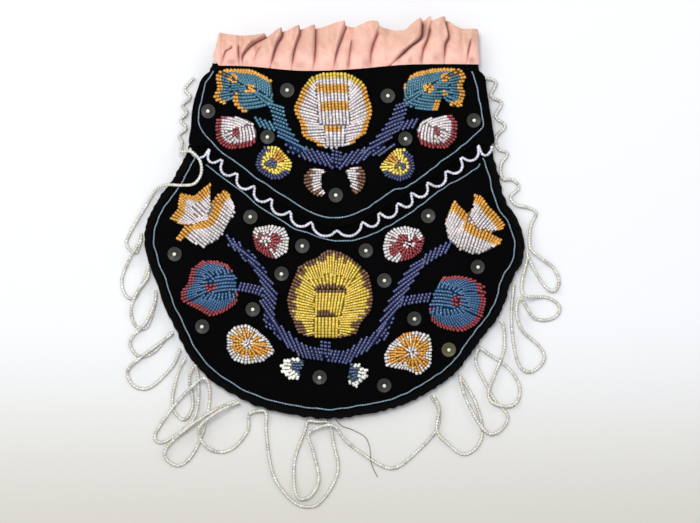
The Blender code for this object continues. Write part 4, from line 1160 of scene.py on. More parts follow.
def thinned(lanes, gap, pitch):
    """Which lanes stay at each place, and how wide their beads are there. Where lanes run together
    every second one drops out, then every fourth, so that a lane always has room for its beads."""
    number = np.arange(len(lanes))
    order = np.where(number == 0, 1 << 20, number & -number)[:, None]
    halvings = np.ceil(np.log2(np.maximum(LEAST_ROOM * pitch / np.maximum(gap, 1e-9), 1)))
    room = gap * 2.0 ** halvings
    wide = BEAD_SHARE * np.clip(room, 0.7 * pitch, pitch)
    return lanes, gap * order >= LEAST_ROOM * pitch, wide


def lanes_between(root, tip, pitch, bow=0.0, samples=60):
    """Lanes from a root line to a tip line, one pitch apart at their wider end. They bow to their left
    by a share of their length: the parabola 4t(1 - t) is added across the straight line."""
    size = max(line_length(line) for line in (root, tip))
    count = max(2, int(round(size / pitch)) + 1)
    starts, ends = even_steps(root, count=count), even_steps(tip, count=count)
    share = np.linspace(0, 1, samples)[None, :, None]
    across = (ends - starts)[:, [1, 0]] * (-1, 1)
    lanes = starts[:, None] * (1 - share) + ends[:, None] * share
    lanes = lanes + across[:, None] * bow * 4 * share * (1 - share)
    gap = np.linalg.norm(np.gradient(lanes, axis=0), axis=2)
    return thinned(lanes, gap, pitch)


# Spokes end at this share of the box's size from its middle, which is past the outline
SPOKE_REACH = 0.62


def ring_lanes(low, high, wheel, pitch, mirrored):
    """Lanes like spokes, from a small oval at the hub to past the box's edge: each is the straight line
    between two points at the same angle, one on each oval."""
    u, v, hub = wheel[:3]
    size = high - low
    centre = in_box([(u, v)], low, high, mirrored)[0]
    count = int(2 * np.pi * 0.5 * np.mean(size) / pitch)
    angle = full_turn(count)
    spoke = np.stack([np.cos(angle), np.sin(angle)], axis=1)
    starts = centre + spoke * hub * size
    ends = (low + high) / 2 + spoke * SPOKE_REACH * size
    share = np.linspace(0, 1, 60)[None, :, None]
    lanes = starts[:, None] * (1 - share) + ends[:, None] * share
    gap = np.linalg.norm(np.roll(lanes, -1, axis=0) - lanes, axis=2)
    return thinned(lanes, gap, pitch)


# How far a lane's first bead has its middle from the tip, as a share of a bead's length
FIRST_BEAD = 0.35


def beads_on_lanes(lanes, kept, room, ring, pitch, inset, ragged):
    """Beads along each lane, counted from its tip: places in plan, the lane's direction, its room, and
    the number from the tip. A lane starts where it comes inside the outline. Ragged lanes start their
    count a bead early or late."""
    found = []
    late = np.random.default_rng(len(lanes)).integers(-1, 2, len(lanes)) * ragged
    shape = lanes.shape[:2]
    rim = line_distance(lanes.reshape(-1, 2), looped(ring)).reshape(shape)
    well_in = inside(lanes.reshape(-1, 2), ring).reshape(shape) & (rim > inset)
    for lane, good, wide, shift in zip(lanes, well_in & kept, room, late):
        index = np.flatnonzero(good)
        if len(index) < 2:
            continue
        along = run_lengths(lane)
        first, last = along[index[0]], along[index[-1]]
        count = max(1, int((last - first) / pitch + 0.6))
        at = last - (np.arange(count) + FIRST_BEAD) * pitch
        near = np.searchsorted(along, at).clip(0, len(lane) - 1)
        good_at = good[near] | (np.abs(at - first) < pitch)
        at, near, number = at[good_at], near[good_at], np.arange(count)[good_at] + shift
        places = read_line(lane, along, at)
        run = np.gradient(lane, axis=0)[near]
        found.append((places, run / np.linalg.norm(run, axis=1)[:, None], wide[near], number))
    return tuple(np.concatenate(part) for part in zip(*found))


# The spots that are tried for one more bead: how close they are, and how far inside the outline. The
# bead that fills a spot is narrower than the next one by this share
SPOT_STEP = 0.35 * MM
SPOT_INSET = 0.45 * MM
FILLER_SHARE = 0.9


def filled(ring, places, runs, widths, pitches, tints, least):
    """More beads where the lanes leave a gap: each goes to the emptiest spot inside the outline, and
    lies and looks like the bead next to it, until every spot has a bead closer than the least distance."""
    low, high = ring.min(axis=0), ring.max(axis=0)
    across, up = (np.arange(low[k], high[k], SPOT_STEP) for k in range(2))
    spots = np.stack(np.meshgrid(across, up), axis=2).reshape(-1, 2)
    spots = spots[inside(spots, ring)]
    spots = spots[line_distance(spots, looped(ring)) > SPOT_INSET]
    far = np.linalg.norm(spots[:, None] - places[None], axis=2).min(axis=1)
    added = []
    while far.max() > least:
        spot = spots[far.argmax()]
        added.append(spot)
        far = np.minimum(far, np.linalg.norm(spots - spot, axis=1))
    if not added:
        return places, runs, widths, pitches, tints
    added = np.array(added)
    near = np.linalg.norm(added[:, None] - places[None], axis=2).argmin(axis=1)
    return (np.vstack([places, added]), np.vstack([runs, runs[near]]),
            np.concatenate([widths, widths[near] * FILLER_SHARE]), np.concatenate([pitches, pitches[near]]),
            np.vstack([tints, tints[near]]))


def apart(places, group, least):
    """Which places keep their bead: a bead gives way to one of an earlier group that lies closer than
    the least distance."""
    far = np.linalg.norm(places[:, None] - places[None], axis=2)
    near = (far < least) & (group[:, None] > group[None])
    keep = np.ones(len(places), bool)
    for index in np.flatnonzero(near.any(axis=1)):
        keep[index] = not keep[np.flatnonzero(near[index])].any()
    return keep


def lane_sets(motif, low, high, mirrored):
    """A motif's sets of lanes, each with its number of beads in the tip's colour, that colour and its
    beads' width."""
    size = beads()
    lane = size.lane * motif.get("wider", 1.0)
    for key, width, pitch in (("fans", size.width, lane), ("big_fans", size.big, size.big)):
        for root, tip, tips, colour, *bow in motif.get(key, []):
            bend = sum(bow) * (-1 if mirrored else 1)
            ends = [in_box(line, low, high, mirrored) for line in (root, tip)]
            yield lanes_between(*ends, pitch, bend), tips, colour, width
    if "wheel" in motif:
        wheel = motif["wheel"]
        yield ring_lanes(low, high, wheel, size.lane, mirrored), wheel[3], wheel[4], size.width


def motif_tints(motif, shares, numbers, tips, colour):
    """The beads' tints, from their places in the motif's box and their numbers from the lanes' tips."""
    tints = np.tile(colour_of(motif["colour"]), (len(shares), 1))
    right, up, limit = motif.get("half", (0, 0, -1))
    at_tip = (numbers < tips) & ((shares - 0.5) @ (right, up) > limit)
    tints[at_tip] = colour_of(colour)
    level, upper = motif.get("upper_tips", (2, colour))
    tints[at_tip & (shares[:, 1] > level)] = colour_of(upper)
    for form, spot, u, v, ru, rv in motif.get("spots", []):
        off = np.abs(shares - (u, v)) / (ru, rv)
        hit = (off**2).sum(axis=1) < 1 if form == "oval" else off.max(axis=1) < 1
        tints[hit] = colour_of(spot)
    return tints


# Beads of different fans keep this share of a bead's length between their middles, and a spot further
# than this share of a lane's pitch from any bead gets one more
LEAST_APART = 0.78
LARGEST_GAP = 0.76


def motif_beads(name, kind, mirrored):
    """All beads of one motif: middles, thread directions, widths, lengths and tints."""
    motif = MOTIFS[kind]
    size = beads()
    ring = outline(name)[:, :2]
    low, high = ring.min(axis=0), ring.max(axis=0)
    parts, groups = [], []
    for lanes, tips, colour, width in lane_sets(motif, low, high, mirrored):
        pitch = size.length * width / size.width
        places, runs, wide, numbers = beads_on_lanes(*lanes, ring, pitch, width * 0.3,
                                                     motif.get("ragged", False))
        shares = (places - low) / (high - low)
        if mirrored:
            shares[:, 0] = 1 - shares[:, 0]
        tints = motif_tints(motif, shares, numbers, tips, colour)
        groups.append(np.full(len(places), len(parts)))
        parts.append((places, runs, wide, np.full(len(places), pitch), tints))
    sewn = tuple(np.concatenate(part) for part in zip(*parts))
    keep = apart(sewn[0], np.concatenate(groups), size.length * LEAST_APART)
    sewn = filled(ring, *(part[keep] for part in sewn), size.lane * LARGEST_GAP)
    return lift_beads(name, *sewn)


class SolidTop:
    """The upper side of a CAD node as a height over the table: the height on the triangle that a place
    lies in, averaged over a small round patch so that the triangles' edges don't show."""

    def __init__(self, name, patch=1.3 * MM):
        points, faces = node_mesh(name)
        self.corners = points[upper_faces(points, faces)]
        angle = full_turn(8)
        rim = np.stack([np.cos(angle), np.sin(angle)], axis=1) * patch
        self.patch = np.vstack([np.zeros((1, 2)), rim])

    def read(self, places):
        a, b, c = (self.corners[None, :, k] for k in range(3))
        ab, ac, ap = b[..., :2] - a[..., :2], c[..., :2] - a[..., :2], places[:, None] - a[..., :2]
        area = ab[..., 0] * ac[..., 1] - ab[..., 1] * ac[..., 0]
        area = np.where(np.abs(area) < 1e-14, 1e-14, area)
        share_b = (ap[..., 0] * ac[..., 1] - ap[..., 1] * ac[..., 0]) / area
        share_c = (ab[..., 0] * ap[..., 1] - ab[..., 1] * ap[..., 0]) / area
        shares = np.stack([1 - share_b - share_c, share_b, share_c], axis=2)
        best = shares.min(axis=2).argmax(axis=1)
        row = np.arange(len(places))
        weight = np.clip(shares[row, best], 0, None)
        weight /= weight.sum(axis=1)[:, None]
        return (weight * self.corners[best, :, 2]).sum(axis=1)

    def __call__(self, places):
        return np.mean([self.read(places + shift) for shift in self.patch], axis=0)


def lift_beads(name, places, runs, widths, pitches, tints):
    """Beads set so that their tops touch the CAD solid's upper side, each tilted to follow it along its
    thread."""
    height = SolidTop(name)
    ahead, behind = places + runs * pitches[:, None] / 2, places - runs * pitches[:, None] / 2
    slope = (height(ahead) - height(behind)) / pitches
    along = np.column_stack([runs, slope])
    middles = np.column_stack([places, height(places) - beads().width * 0.45])
    return middles, along, widths, pitches, tints


# How far the padding is drawn in from the motif's outline, and lowered under the beads' tops
DRAWN_IN = 0.5 * MM
LOWERED = 1.15 * MM


def padding(name):
    """The padding under the beads: a copy of the motif's solid, drawn in from its outline and lowered
    under the middles of the beads."""
    points, faces = node_mesh(name)
    ring = outline(name)[:, :2]
    inward = side_normals(np.vstack([ring[-1:], ring, ring[:1]]))[1:-1]
    test = inside(ring + inward * 0.2 * MM, ring)
    inward = inward if test.mean() > 0.5 else -inward
    far = np.linalg.norm(points[:, None, :2] - ring[None], axis=2)
    reach = DRAWN_IN * np.clip(1 - far.min(axis=1) / MM, 0, 1)
    points[:, :2] += inward[far.argmin(axis=1)] * reach[:, None]
    points[:, 2] = np.maximum(points[:, 2] - LOWERED, points[:, 2].min())
    return points, faces


def second_coat(mesh, faces):
    """Give these faces the mesh's second material."""
    index = np.zeros(len(mesh.polygons), np.int32)
    index[faces] = 1
    mesh.polygons.foreach_set("material_index", index)


def bead_piece(name, found, slot, coat, seed):
    """A motif as one piece: its beads, and the padding under them in the beads' darker colour, which is
    partly painted shade between the lanes.
    """
    middles, along, widths, pitches, tints = found
    rng = np.random.default_rng(seed)
    middles = middles + rng.normal(0, 0.025 * MM, middles.shape)
    widths = widths * rng.uniform(0.96, 1.03, len(widths))
    beads_points, face_sets, bead_tints = bead_shapes(middles, along, widths, pitches * 1.02,
                                                      varied(tints, seed))
    under_points, under_faces = padding(name)
    near = np.concatenate([np.linalg.norm(part[:, None, :2] - middles[None, :, :2], axis=2).argmin(axis=1)
                           for part in np.array_split(under_points, 8)])
    points = np.vstack([beads_points, under_points])
    # The padding takes the nearest bead's tint darkened to 0.3: partly its own colour, partly painted shade
    # between the lanes
    shades = np.vstack([bead_tints, tints[near] * 0.3])
    mesh = mesh_of(name, points, [*face_sets, under_faces + len(beads_points)])
    tint_mesh(mesh, shades)
    second_coat(mesh, slice(-len(under_faces), None))
    return put(name + "_beads", mesh, [coat, coat_of("padding_with_painted_shade", padding_with_painted_shade)], slot, [name])


def make_motifs():
    """The raised motifs."""
    coat = coat_of("motif_glass", glass, roughness=0.22)
    for seed, (name, kind, slot, mirrored) in enumerate(PLACED_MOTIFS, 100):
        bead_piece(name, motif_beads(name, kind, mirrored), slot, coat, seed)


# The lanes of a stem reach a little past its half width and stand a little closer than a motif's. Their
# beads are narrower, a later branch may come this close to an earlier one's half width, and the largest
# gap is a share of the lanes' pitch
STEM_REACH = 0.54
STEM_PITCH = 0.97
STEM_BEAD = 0.92
STEM_CLEAR = 0.95
STEM_GAP = 0.9


def branch_lanes(width, slants, route, pitch):
    """Short lanes across a branch: each is centred on the branch's route and slants from it, as long as
    the branch is wide along that slant."""
    line = smooth((np.array(route, float) - PATTERN_CENTRE) * MM, pitch * 0.2)
    count = len(line)
    angle = np.radians(np.linspace(*slants, count))
    slant = np.stack([np.cos(angle), np.sin(angle)], axis=1)
    normal = side_normals(line)
    lean = np.abs((slant * normal).sum(axis=1))
    along = np.concatenate([[0], np.cumsum(np.linalg.norm(np.diff(line, axis=0), axis=1) * lean[1:])])
    places = np.arange(0.3 * pitch, along[-1], pitch)
    pick = np.searchsorted(along, places).clip(0, count - 1)
    half = width * STEM_REACH * MM / np.maximum(lean[pick], 0.35)
    share = np.linspace(-1, 1, 40)[None, :, None]
    lanes = line[pick][:, None] + slant[pick][:, None] * half[:, None, None] * share
    return lanes, pick / count, line


def stem_beads(lane, t, colours, earlier):
    """Beads along one short lane, as places, directions and tints, without those that lie on an earlier
    branch. The tint blends from the first colour to the last along the branch."""
    size = beads()
    length = np.linalg.norm(lane[-1] - lane[0])
    number = max(2, int(length / size.length))
    at = (np.arange(number) + 0.5) / number
    places = lane[0] + (lane[-1] - lane[0]) * at[:, None]
    run = np.tile((lane[-1] - lane[0]) / length, (number, 1))
    free = np.ones(len(places), bool)
    for other, reach in earlier:
        free &= line_distance(places, other) > reach
    first, last = colours
    colour = colour_of(first) * (1 - t) + colour_of(last) * t
    return places[free], run[free], np.tile(colour, (int(free.sum()), 1))


def make_stem(name, branches):
    """A branching stem of short slanting lanes. A later branch gives way to an earlier one."""
    size = beads()
    ring = outline(name)[:, :2]
    parts, earlier = [], []
    for width, slants, colours, route in branches:
        lanes, share, line = branch_lanes(width, slants, route, size.lane * STEM_PITCH)
        for lane, t in zip(lanes, share):
            parts.append(stem_beads(lane, t, colours, earlier))
        earlier.append((line, width * MM / 2 * STEM_CLEAR))
    places, runs, tints = (np.concatenate(part) for part in zip(*parts))
    widths = np.full(len(places), size.lane * BEAD_SHARE * STEM_BEAD)
    pitches = np.full(len(places), size.length)
    sewn = filled(ring, places, runs, widths, pitches, tints, size.lane * STEM_GAP)
    found = lift_beads(name, *sewn)
    bead_piece(name, found, "stem_beads", coat_of("stem_glass", glass, roughness=0.15), len(name))


# A sequin's section from its middle out: (radius, height) in millimetres, a shallow cup with rings
SEQUIN_SECTION = [
    (0.55, 0.18), (0.95, 0.2), (1.15, 0.27), (1.4, 0.26), (1.6, 0.35), (1.85, 0.34), (2.05, 0.44),
    (2.3, 0.43), (2.55, 0.54), (2.8, 0.56), (3.05, 0.66), (3.25, 0.72), (3.3, 0.68), (3.2, 0.58),
    (2.9, 0.48), (2.3, 0.32), (1.6, 0.2), (0.95, 0.1), (0.55, 0.08),
]
SEQUIN_SIDES = 32
SEQUIN_SCALE = 0.94
BRASS_SEQUIN = "panel_sequin_13"


def sequin_shape():
    """Points and faces of a disc, its section turned about the middle, and of the bead that holds it."""
    angle = full_turn(SEQUIN_SIDES)
    section = np.array(SEQUIN_SECTION) * SEQUIN_SCALE * MM
    disc = np.stack([section[:, :1] * np.cos(angle), section[:, :1] * np.sin(angle),
                     np.repeat(section[:, 1:], SEQUIN_SIDES, axis=1)], axis=2).reshape(-1, 3)
    ring = np.arange(SEQUIN_SIDES)
    after = (ring + 1) % SEQUIN_SIDES
    row = (np.arange(len(section)) * SEQUIN_SIDES)[:, None]
    above = (np.roll(np.arange(len(section)), -1) * SEQUIN_SIDES)[:, None]
    quads = np.stack([row + ring, row + after, above + after, above + ring], axis=2).reshape(-1, 4)
    shape, bead_faces = bead_shape()
    bead = shape[:, [1, 2, 0]] * np.array([1.6, 1.6, 1.2]) * MM + np.array([0, 0, 1.05 * MM])
    return np.vstack([disc, bead]), [quads] + [faces + len(disc) for faces in bead_faces]


def sequin_place(name, rng):
    """A sequin's middle, and the turn that tilts it with the cloth under it and a little at random."""
    low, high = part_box(name)
    x, y = (low.x + high.x) / 2, (low.y + high.y) / 2
    level = CLOTH.flap_top if name.startswith("flap") else CLOTH.front_top
    z, z_right, z_up = level(np.array([(x, y), (x + MM, y), (x, y + MM)]))
    lean = rng.normal(0, 0.05, 2)
    up = Vector(((z - z_right) / MM + lean[0], (z - z_up) / MM + lean[1], 1)).normalized()
    turn = np.array(Vector((0, 0, 1)).rotation_difference(up).to_matrix())
    return np.array([x, y, z + 0.3 * MM]), turn


def make_sequins():
    """Sequins, each held by a bead. One is brassy."""
    dark = coat_of("smoky_sequin", sequin, colour=tone(15, 14, 9))
    brass = coat_of("olive_brass", sequin, colour=tone(72, 65, 34))
    bead_glass = coat_of("sequin_bead", glass, roughness=0.2)
    shape, faces = sequin_shape()
    for seed, name in enumerate(sorted(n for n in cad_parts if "sequin" in n), 500):
        base, turn = sequin_place(name, np.random.default_rng(seed))
        mesh = mesh_of(name, shape @ turn.T + base, faces, 60)
        disc, slot = (brass, "brass_sequin") if name == BRASS_SEQUIN else (dark, "sequin")
        put(name + "_disc", mesh, [disc, bead_glass], slot, [name])
        second_coat(mesh, slice(len(faces[0]), None))
        tint_mesh(mesh, np.tile(tone(226, 224, 206), (len(shape), 1)))


# Creases of the front ribbon from the stitches to the free edge, in millimetres from the pattern's
# centre, each with its depth and the share of the ribbon's height that it runs up. The first and the
# last are the ribbon's ends
CREASES = [
    ([(-49.8, 66.8), (-52.4, 70.9), (-51.4, 74.6), (-49.8, 81.9)], 0.0, 1.0),
    ([(-48.8, 67.2), (-47, 73), (-44.5, 74.4), (-43, 80)], 0.8, 0.5),
    ([(-40.9, 66.8), (-41.3, 74.6), (-39.8, 80)], 0.9, 0.55),
    ([(-39.3, 66.6), (-39.5, 70.9), (-35.6, 75.8), (-29.1, 79.5)], 1.0, 1.0),
    ([(-34.8, 66.4), (-33.1, 73), (-27.6, 79.5)], 0.35, 0.6),
    ([(-27.5, 65.6), (-25.1, 74.6), (-22.2, 79.9)], 1.1, 1.0),
    ([(-18.1, 64.9), (-17.1, 73), (-14.5, 80.7)], 0.9, 0.95),
    ([(-8.6, 64.6), (-8, 73.4), (-7.8, 81.5)], 0.8, 1.0),
    ([(-0.1, 64.8), (1.7, 73.4), (5.4, 83.7)], 0.9, 1.0),
    ([(6.4, 65), (7.4, 74.6), (8.5, 83)], 0.7, 0.6),
    ([(16.4, 65.8), (16.2, 71.3), (17.2, 75.8), (20, 83)], 0.8, 0.75),
    ([(24.5, 66.5), (29.4, 71.3), (33.4, 75), (38, 79), (38.8, 84)], 1.5, 0.85),
    ([(38.3, 67), (38.9, 73.4), (40.9, 78.6), (42.5, 86)], 0.8, 0.75),
    ([(48.2, 67.2), (48.5, 75.4), (50.1, 79.5), (48.8, 84.7)], 1.0, 1.0),
    ([(57.8, 67.2), (59, 74.6), (61, 81)], 0.7, 0.6),
    ([(63.5, 66.8), (63, 71.3), (63.3, 80.3)], 0.0, 1.0),
]
RIBBON_ROWS = 44
BACK_CREASES = 13


def ribbon_edges(name):
    """The stitched edge and the free edge of a CAD ribbon, and its upper height along both."""
    ring = outline(name)
    corner = [int(np.argmin(ring[:, 0] * a + ring[:, 1] * b))
              for a, b in ((1, 1), (-1, 1), (-1, -1), (1, -1))]
    ring = np.roll(ring, -corner[0], axis=0)
    turns = [(k - corner[0]) % len(ring) for k in corner]
    foot, free = ring[:turns[1] + 1], ring[turns[2]:turns[3] + 1][::-1]
    return foot[np.argsort(foot[:, 0])], free[np.argsort(free[:, 0])]


def edge_at(edge, x, k=1):
    """How far up an edge is at x, or how high it lies for k = 2."""
    return np.interp(x, edge[:, 0], edge[:, k])


def crease_lines(creases, foot, free, rows):
    """Where each crease stands across the ribbon on every row, from the stitches to the free edge."""
    lines = []
    for points in creases:
        p = smooth((np.array(points, float) - PATTERN_CENTRE) * MM, 0.4 * MM)
        low, high = edge_at(foot, p[:, 0]), edge_at(free, p[:, 0])
        share = (p[:, 1] - low) / (high - low)
        share[0], share[-1] = 0.0, 1.0
        lines.append(np.interp(rows, share, p[:, 0]))
    return np.array(lines)


def fold_ridge(x, creases, lines):
    """The ridge of each fold between two long creases: it swells slowly from the left crease to its
    highest just before the right one."""
    long = np.array([line for (_, deep, reach), line in zip(creases, lines) if reach > 0.7 or deep == 0])
    share = np.zeros(x.shape)
    for left, right in zip(long, long[1:]):
        part = (x - left) / (right - left)
        share = np.where((part > 0) & (part <= 1), part, share)
    return np.sin(np.pi / 2 * np.clip(share, 0, 1)) ** 2 * eased((1.0 - share) / 0.06 + 0.15)


def crease_depths(x, v, creases, lines):
    """How deep the silk falls at the creases, and how dark the painted shade along their lines is. A
    crease is a narrow notch with a round shoulder on its left: each falls off as exp(-distance /
    width), and the depth grows from the stitches to the free edge."""
    depth, crease_shade = np.zeros(x.shape), np.zeros(x.shape)
    for (_, deep, reach), line in zip(creases, lines):
        off = x - line
        run = deep * eased((reach + 0.15 - v) / 0.15) * (0.15 + 0.85 * eased(v * 2.2))
        shoulder = np.where(off < 0, np.exp(off / (0.4 * MM)), np.exp(-off / (1.8 * MM)))
        notch = np.exp(-np.abs(off) / (0.35 * MM))
        depth = np.maximum(depth, run * (0.55 * shoulder + 0.75 * notch))
        # Painted shade along the crease's line, darkest on it
        crease_shade = np.maximum(crease_shade, run * np.exp(-np.abs(off) / (0.45 * MM)))
    return depth, crease_shade


# How far a fold's ridge carries the free edge up
SCALLOP = 1.9 * MM


def gathered_silk(name, creases, fullness, drop_at_foot):
    """A gathered ribbon as a closed skin. Its columns follow the creases from the stitches to the free
    edge. The silk swells between its two edges, rises with each ridge and falls at each crease."""
    foot, free = ribbon_edges(name)
    rows = np.linspace(0, 1, RIBBON_ROWS)
    lines = crease_lines([c[0] for c in creases], foot, free, rows)
    share = (1 - np.cos(np.pi * np.linspace(0, 1, 22))) / 2
    across = [left + (right - left) * share[:-1, None] for left, right in zip(lines, lines[1:])]
    x = np.vstack(across + [lines[-1:]])
    v = np.broadcast_to(rows, x.shape)
    low, high = edge_at(foot, x), edge_at(free, x)
    ridge = fold_ridge(x, creases, lines)
    high = high + (ridge - 0.35) * SCALLOP * eased(v * 3)
    y = low + (high - low) * v
    base = edge_at(foot, x, 2) * (1 - eased(v)) + edge_at(free, x, 2) * eased(v)
    depth, crease_shade = crease_depths(x, v, creases, lines)
    puff = np.sin(np.pi * np.clip(v, 0, 1)) * 0.5
    soft = ripple(x, y, 0.8 * MM, 11 * MM) * eased(v * 2)
    z = base + fullness * (puff + 0.6 * (ridge - 0.5) * eased(v * 2) - depth) + soft - drop_at_foot * (1 - v)
    thick = cloths().ribbon * (1 - 0.8 * np.clip((v - 0.94) / 0.06, 0, 1))
    over = np.stack([x, y, z], axis=2)
    under = np.stack([x, y, z - thick], axis=2)
    points, face_sets = skin(np.concatenate([over, under[:, ::-1]], axis=1))
    # The silk's colour with painted shade at the creases and in small gathers
    tints = silk_tints(x, y, v, depth, crease_shade)
    both = np.concatenate([tints, tints[:, ::-1]], axis=1).reshape(-1, 3)
    mesh = mesh_of(name, points, face_sets, 70)
    tint_mesh(mesh, np.vstack([both, both[:1], both[-1:]]))
    piece = put(name + "_silk", mesh, [coat_of("pink_silk", pink_silk)], "ribbon", [name])
    folds = line_length(over[:, RIBBON_ROWS // 2])


def silk_tints(x, y, v, depth, crease_shade):
    """Silk that has faded to peach on the fulls and stays pink in the folds and by the stitches. Shade is
    painted into it: dark reddish lines along the creases, and darker silk in the creases' depth, along
    the waves of its soft unevenness and in small gathers by the stitches.
    """
    values = cloths()
    pink, peach = np.array(values.silk_colour, float), np.array(values.silk_fade, float)
    patches = 0.5 + 0.5 * np.sin(x / (7 * MM) + 4 * v) * np.sin(x / (19 * MM) + 1.0)
    faded = np.clip(eased(v * 1.5 - 0.15) * (0.45 + 0.55 * patches) - depth * 0.8, 0, 1)[..., None]
    # Painted shade along the same waves as the silk's soft unevenness
    wave_shade = ripple(x, y, 1.0, 11 * MM)
    # Painted shade of small gathers just above the stitches
    tuck_shade_waves = np.sin(x / (1.1 * MM) + 2.5 * np.sin(x / (5.3 * MM))) * np.sin(x / (8.7 * MM) + 0.6)
    pucker_shade = np.clip(tuck_shade_waves, 0, 1) * np.exp(-((v - 0.12) / 0.1) ** 2)
    # Painted shade from the creases' depth, the waves and the small gathers
    soft = np.clip(0.35 * depth + 0.1 * wave_shade * eased(v * 2) + 0.7 * pucker_shade, 0, 1)
    shade = (1 - 0.55 * np.clip(crease_shade, 0, 1) - 0.45 * soft)[..., None]
    # The painted shade turns redder as it deepens
    shade_red = np.array([1.0, 0.55, 0.52]) * (1 - shade) + shade
    return (pink * (1 - faded) + peach * faded) * shade * shade_red


def back_creases():
    """Even creases for the back ribbon, which wander a little. Every second one is long, and the first
    and the last are the ribbon's ends."""
    foot, free = ribbon_edges("back_ribbon")
    number = np.arange(BACK_CREASES + 2)
    share = number / (BACK_CREASES + 1)
    at = share + 0.03 * np.sin(number * 2.6) * (share > 0) * (share < 1)
    bottom, top = (line[0, 0] + (line[-1, 0] - line[0, 0]) * at for line in (foot, free))
    creases = []
    for k, (a, b) in enumerate(zip(bottom, top)):
        ends = [(a, edge_at(foot, a)), (b, edge_at(free, b))]
        points = np.array(ends) / MM + PATTERN_CENTRE
        inner = 0 < k < BACK_CREASES + 1
        creases.append((points.tolist(), 0.7 if inner else 0.0, 0.6 + 0.3 * (k % 2)))
    return creases


def make_ribbons():
    """Gathered silk in front of the mouth and behind it."""
    gathered_silk("front_ribbon", CREASES, 2.0 * MM, 0.4 * MM)
    gathered_silk("back_ribbon", back_creases(), 0.8 * MM, 0.0)


def aim(thing, target):
    """Turn a lamp or a camera to face a point."""
    away = Vector(thing.location) - Vector(target)
    thing.rotation_euler = away.to_track_quat("Z", "Y").to_euler()


def area_light(name, place, size, power, colour):
    lamp = bpy.data.lights.new(name, "AREA")
    lamp.shape = "RECTANGLE"
    lamp.size, lamp.size_y = size
    lamp.energy = power
    lamp.color = colour
    made = bpy.data.objects.new(name, lamp)
    made.location = place
    bpy.context.scene.collection.objects.link(made)
    aim(made, (0, 0, 0))
    return made


def paper(tree, face, floor, shade):
    """The table's paper with a painted fall-off of light: darker below the bag's middle and plain far
    from it.
    """
    place = node(tree, "ShaderNodeTexCoord")
    below = node(tree, "ShaderNodeVectorMath", operation="DOT_PRODUCT")
    below.inputs[1].default_value = (0.0, -0.94, 0.0)
    away = node(tree, "ShaderNodeVectorMath", operation="LENGTH")
    both = node(tree, "ShaderNodeMath", operation="MULTIPLY")
    # Painted fall-off of light: one ramp darkens below the bag's middle, the other fades it out far from the
    # middle
    for side, (measure, start, end) in enumerate(((below, 0.03, 0.14), (away, 0.34, 0.2))):
        slope = node(tree, "ShaderNodeMapRange", interpolation_type="SMOOTHSTEP")
        set_inputs(slope, From_Min=start, From_Max=end)
        join(tree,
             (place.outputs["Object"], measure.inputs[0]),
             (measure.outputs["Value"], slope.inputs["Value"]),
             (slope.outputs["Result"], both.inputs[side]))
    blend = node(tree, "ShaderNodeMix", data_type="RGBA")
    blend.inputs[6].default_value = (*floor, 1.0)
    blend.inputs[7].default_value = (*shade, 1.0)
    join(tree,
         (both.outputs["Value"], blend.inputs["Factor"]),
         (blend.outputs[2], face.inputs["Base Color"]))
    set_inputs(face, Roughness=0.9)


TABLE_SIZE = 4.0


def make_table(values):
    corners = np.array([(-1, -1, 0), (1, -1, 0), (1, 1, 0), (-1, 1, 0)]) * TABLE_SIZE / 2
    mesh = bpy.data.meshes.new("table")
    mesh.from_pydata(corners.tolist(), [], [(0, 1, 2, 3)])
    table = bpy.data.objects.new("table", mesh)
    bpy.context.scene.collection.objects.link(table)
    mesh.materials.append(coat_of("table_paper", paper, floor=values.floor, shade=values.floor_shade))


def make_world(strength):
    """A bluish sky for the light, and plain white where the camera sees it, itself or in glass."""
    world = bpy.data.worlds.new("studio")
    world.use_nodes = True
    tree = world.node_tree
    sky, seen = tree.nodes["Background"], node(tree, "ShaderNodeBackground")
    set_inputs(sky, Color=(0.9, 0.95, 1.0, 1.0), Strength=strength)
    set_inputs(seen, Color=(0.93, 0.93, 0.93, 1.0))
    ray = node(tree, "ShaderNodeLightPath")
    shown = ray.outputs["Is Camera Ray"]
    for kind in ("Is Glossy Ray", "Is Transmission Ray"):
        either = node(tree, "ShaderNodeMath", operation="MAXIMUM")
        join(tree, (shown, either.inputs[0]), (ray.outputs[kind], either.inputs[1]))
        shown = either.outputs[0]
    choice = node(tree, "ShaderNodeMixShader")
    join(tree,
         (shown, choice.inputs[0]),
         (sky.outputs[0], choice.inputs[1]),
         (seen.outputs[0], choice.inputs[2]),
         (choice.outputs[0], tree.nodes["World Output"].inputs[0]))
    return world


CAMERA_HEIGHT = 1.4


def make_camera():
    """A camera straight above: the focal length is the sensor's width times the distance over the
    width of the view at the bag's level."""
    view = bpy.data.cameras.new("overhead")
    view.sensor_fit = "HORIZONTAL"
    view.lens = view.sensor_width * (CAMERA_HEIGHT - VIEW_LEVEL) / VIEW_WIDTH
    view.clip_start, view.clip_end = 0.05, 10.0
    camera = bpy.data.objects.new("overhead", view)
    camera.location = (*VIEW_CENTRE, CAMERA_HEIGHT)
    bpy.context.scene.collection.objects.link(camera)
    return camera


def make_stage():
    """A pale table, soft light from the left and the right, and a camera straight above."""
    scene = bpy.context.scene
    values = scene.bag_stage
    make_table(values)
    scene.world = make_world(values.sky)
    area_light("key", (-0.9, 0.6, 1.2), (0.9, 0.9), values.key, (1.0, 0.98, 0.94))
    area_light("fill", (0.9, 0.7, 1.1), (0.7, 0.7), values.fill, (0.95, 0.97, 1.0))
    area_light("overhead_lamp", (-0.12, 0.3, 1.35), (0.45, 0.45), values.overhead, (1.0, 1.0, 1.0))
    scene.camera = make_camera()
    scene.view_settings.view_transform = "Standard"


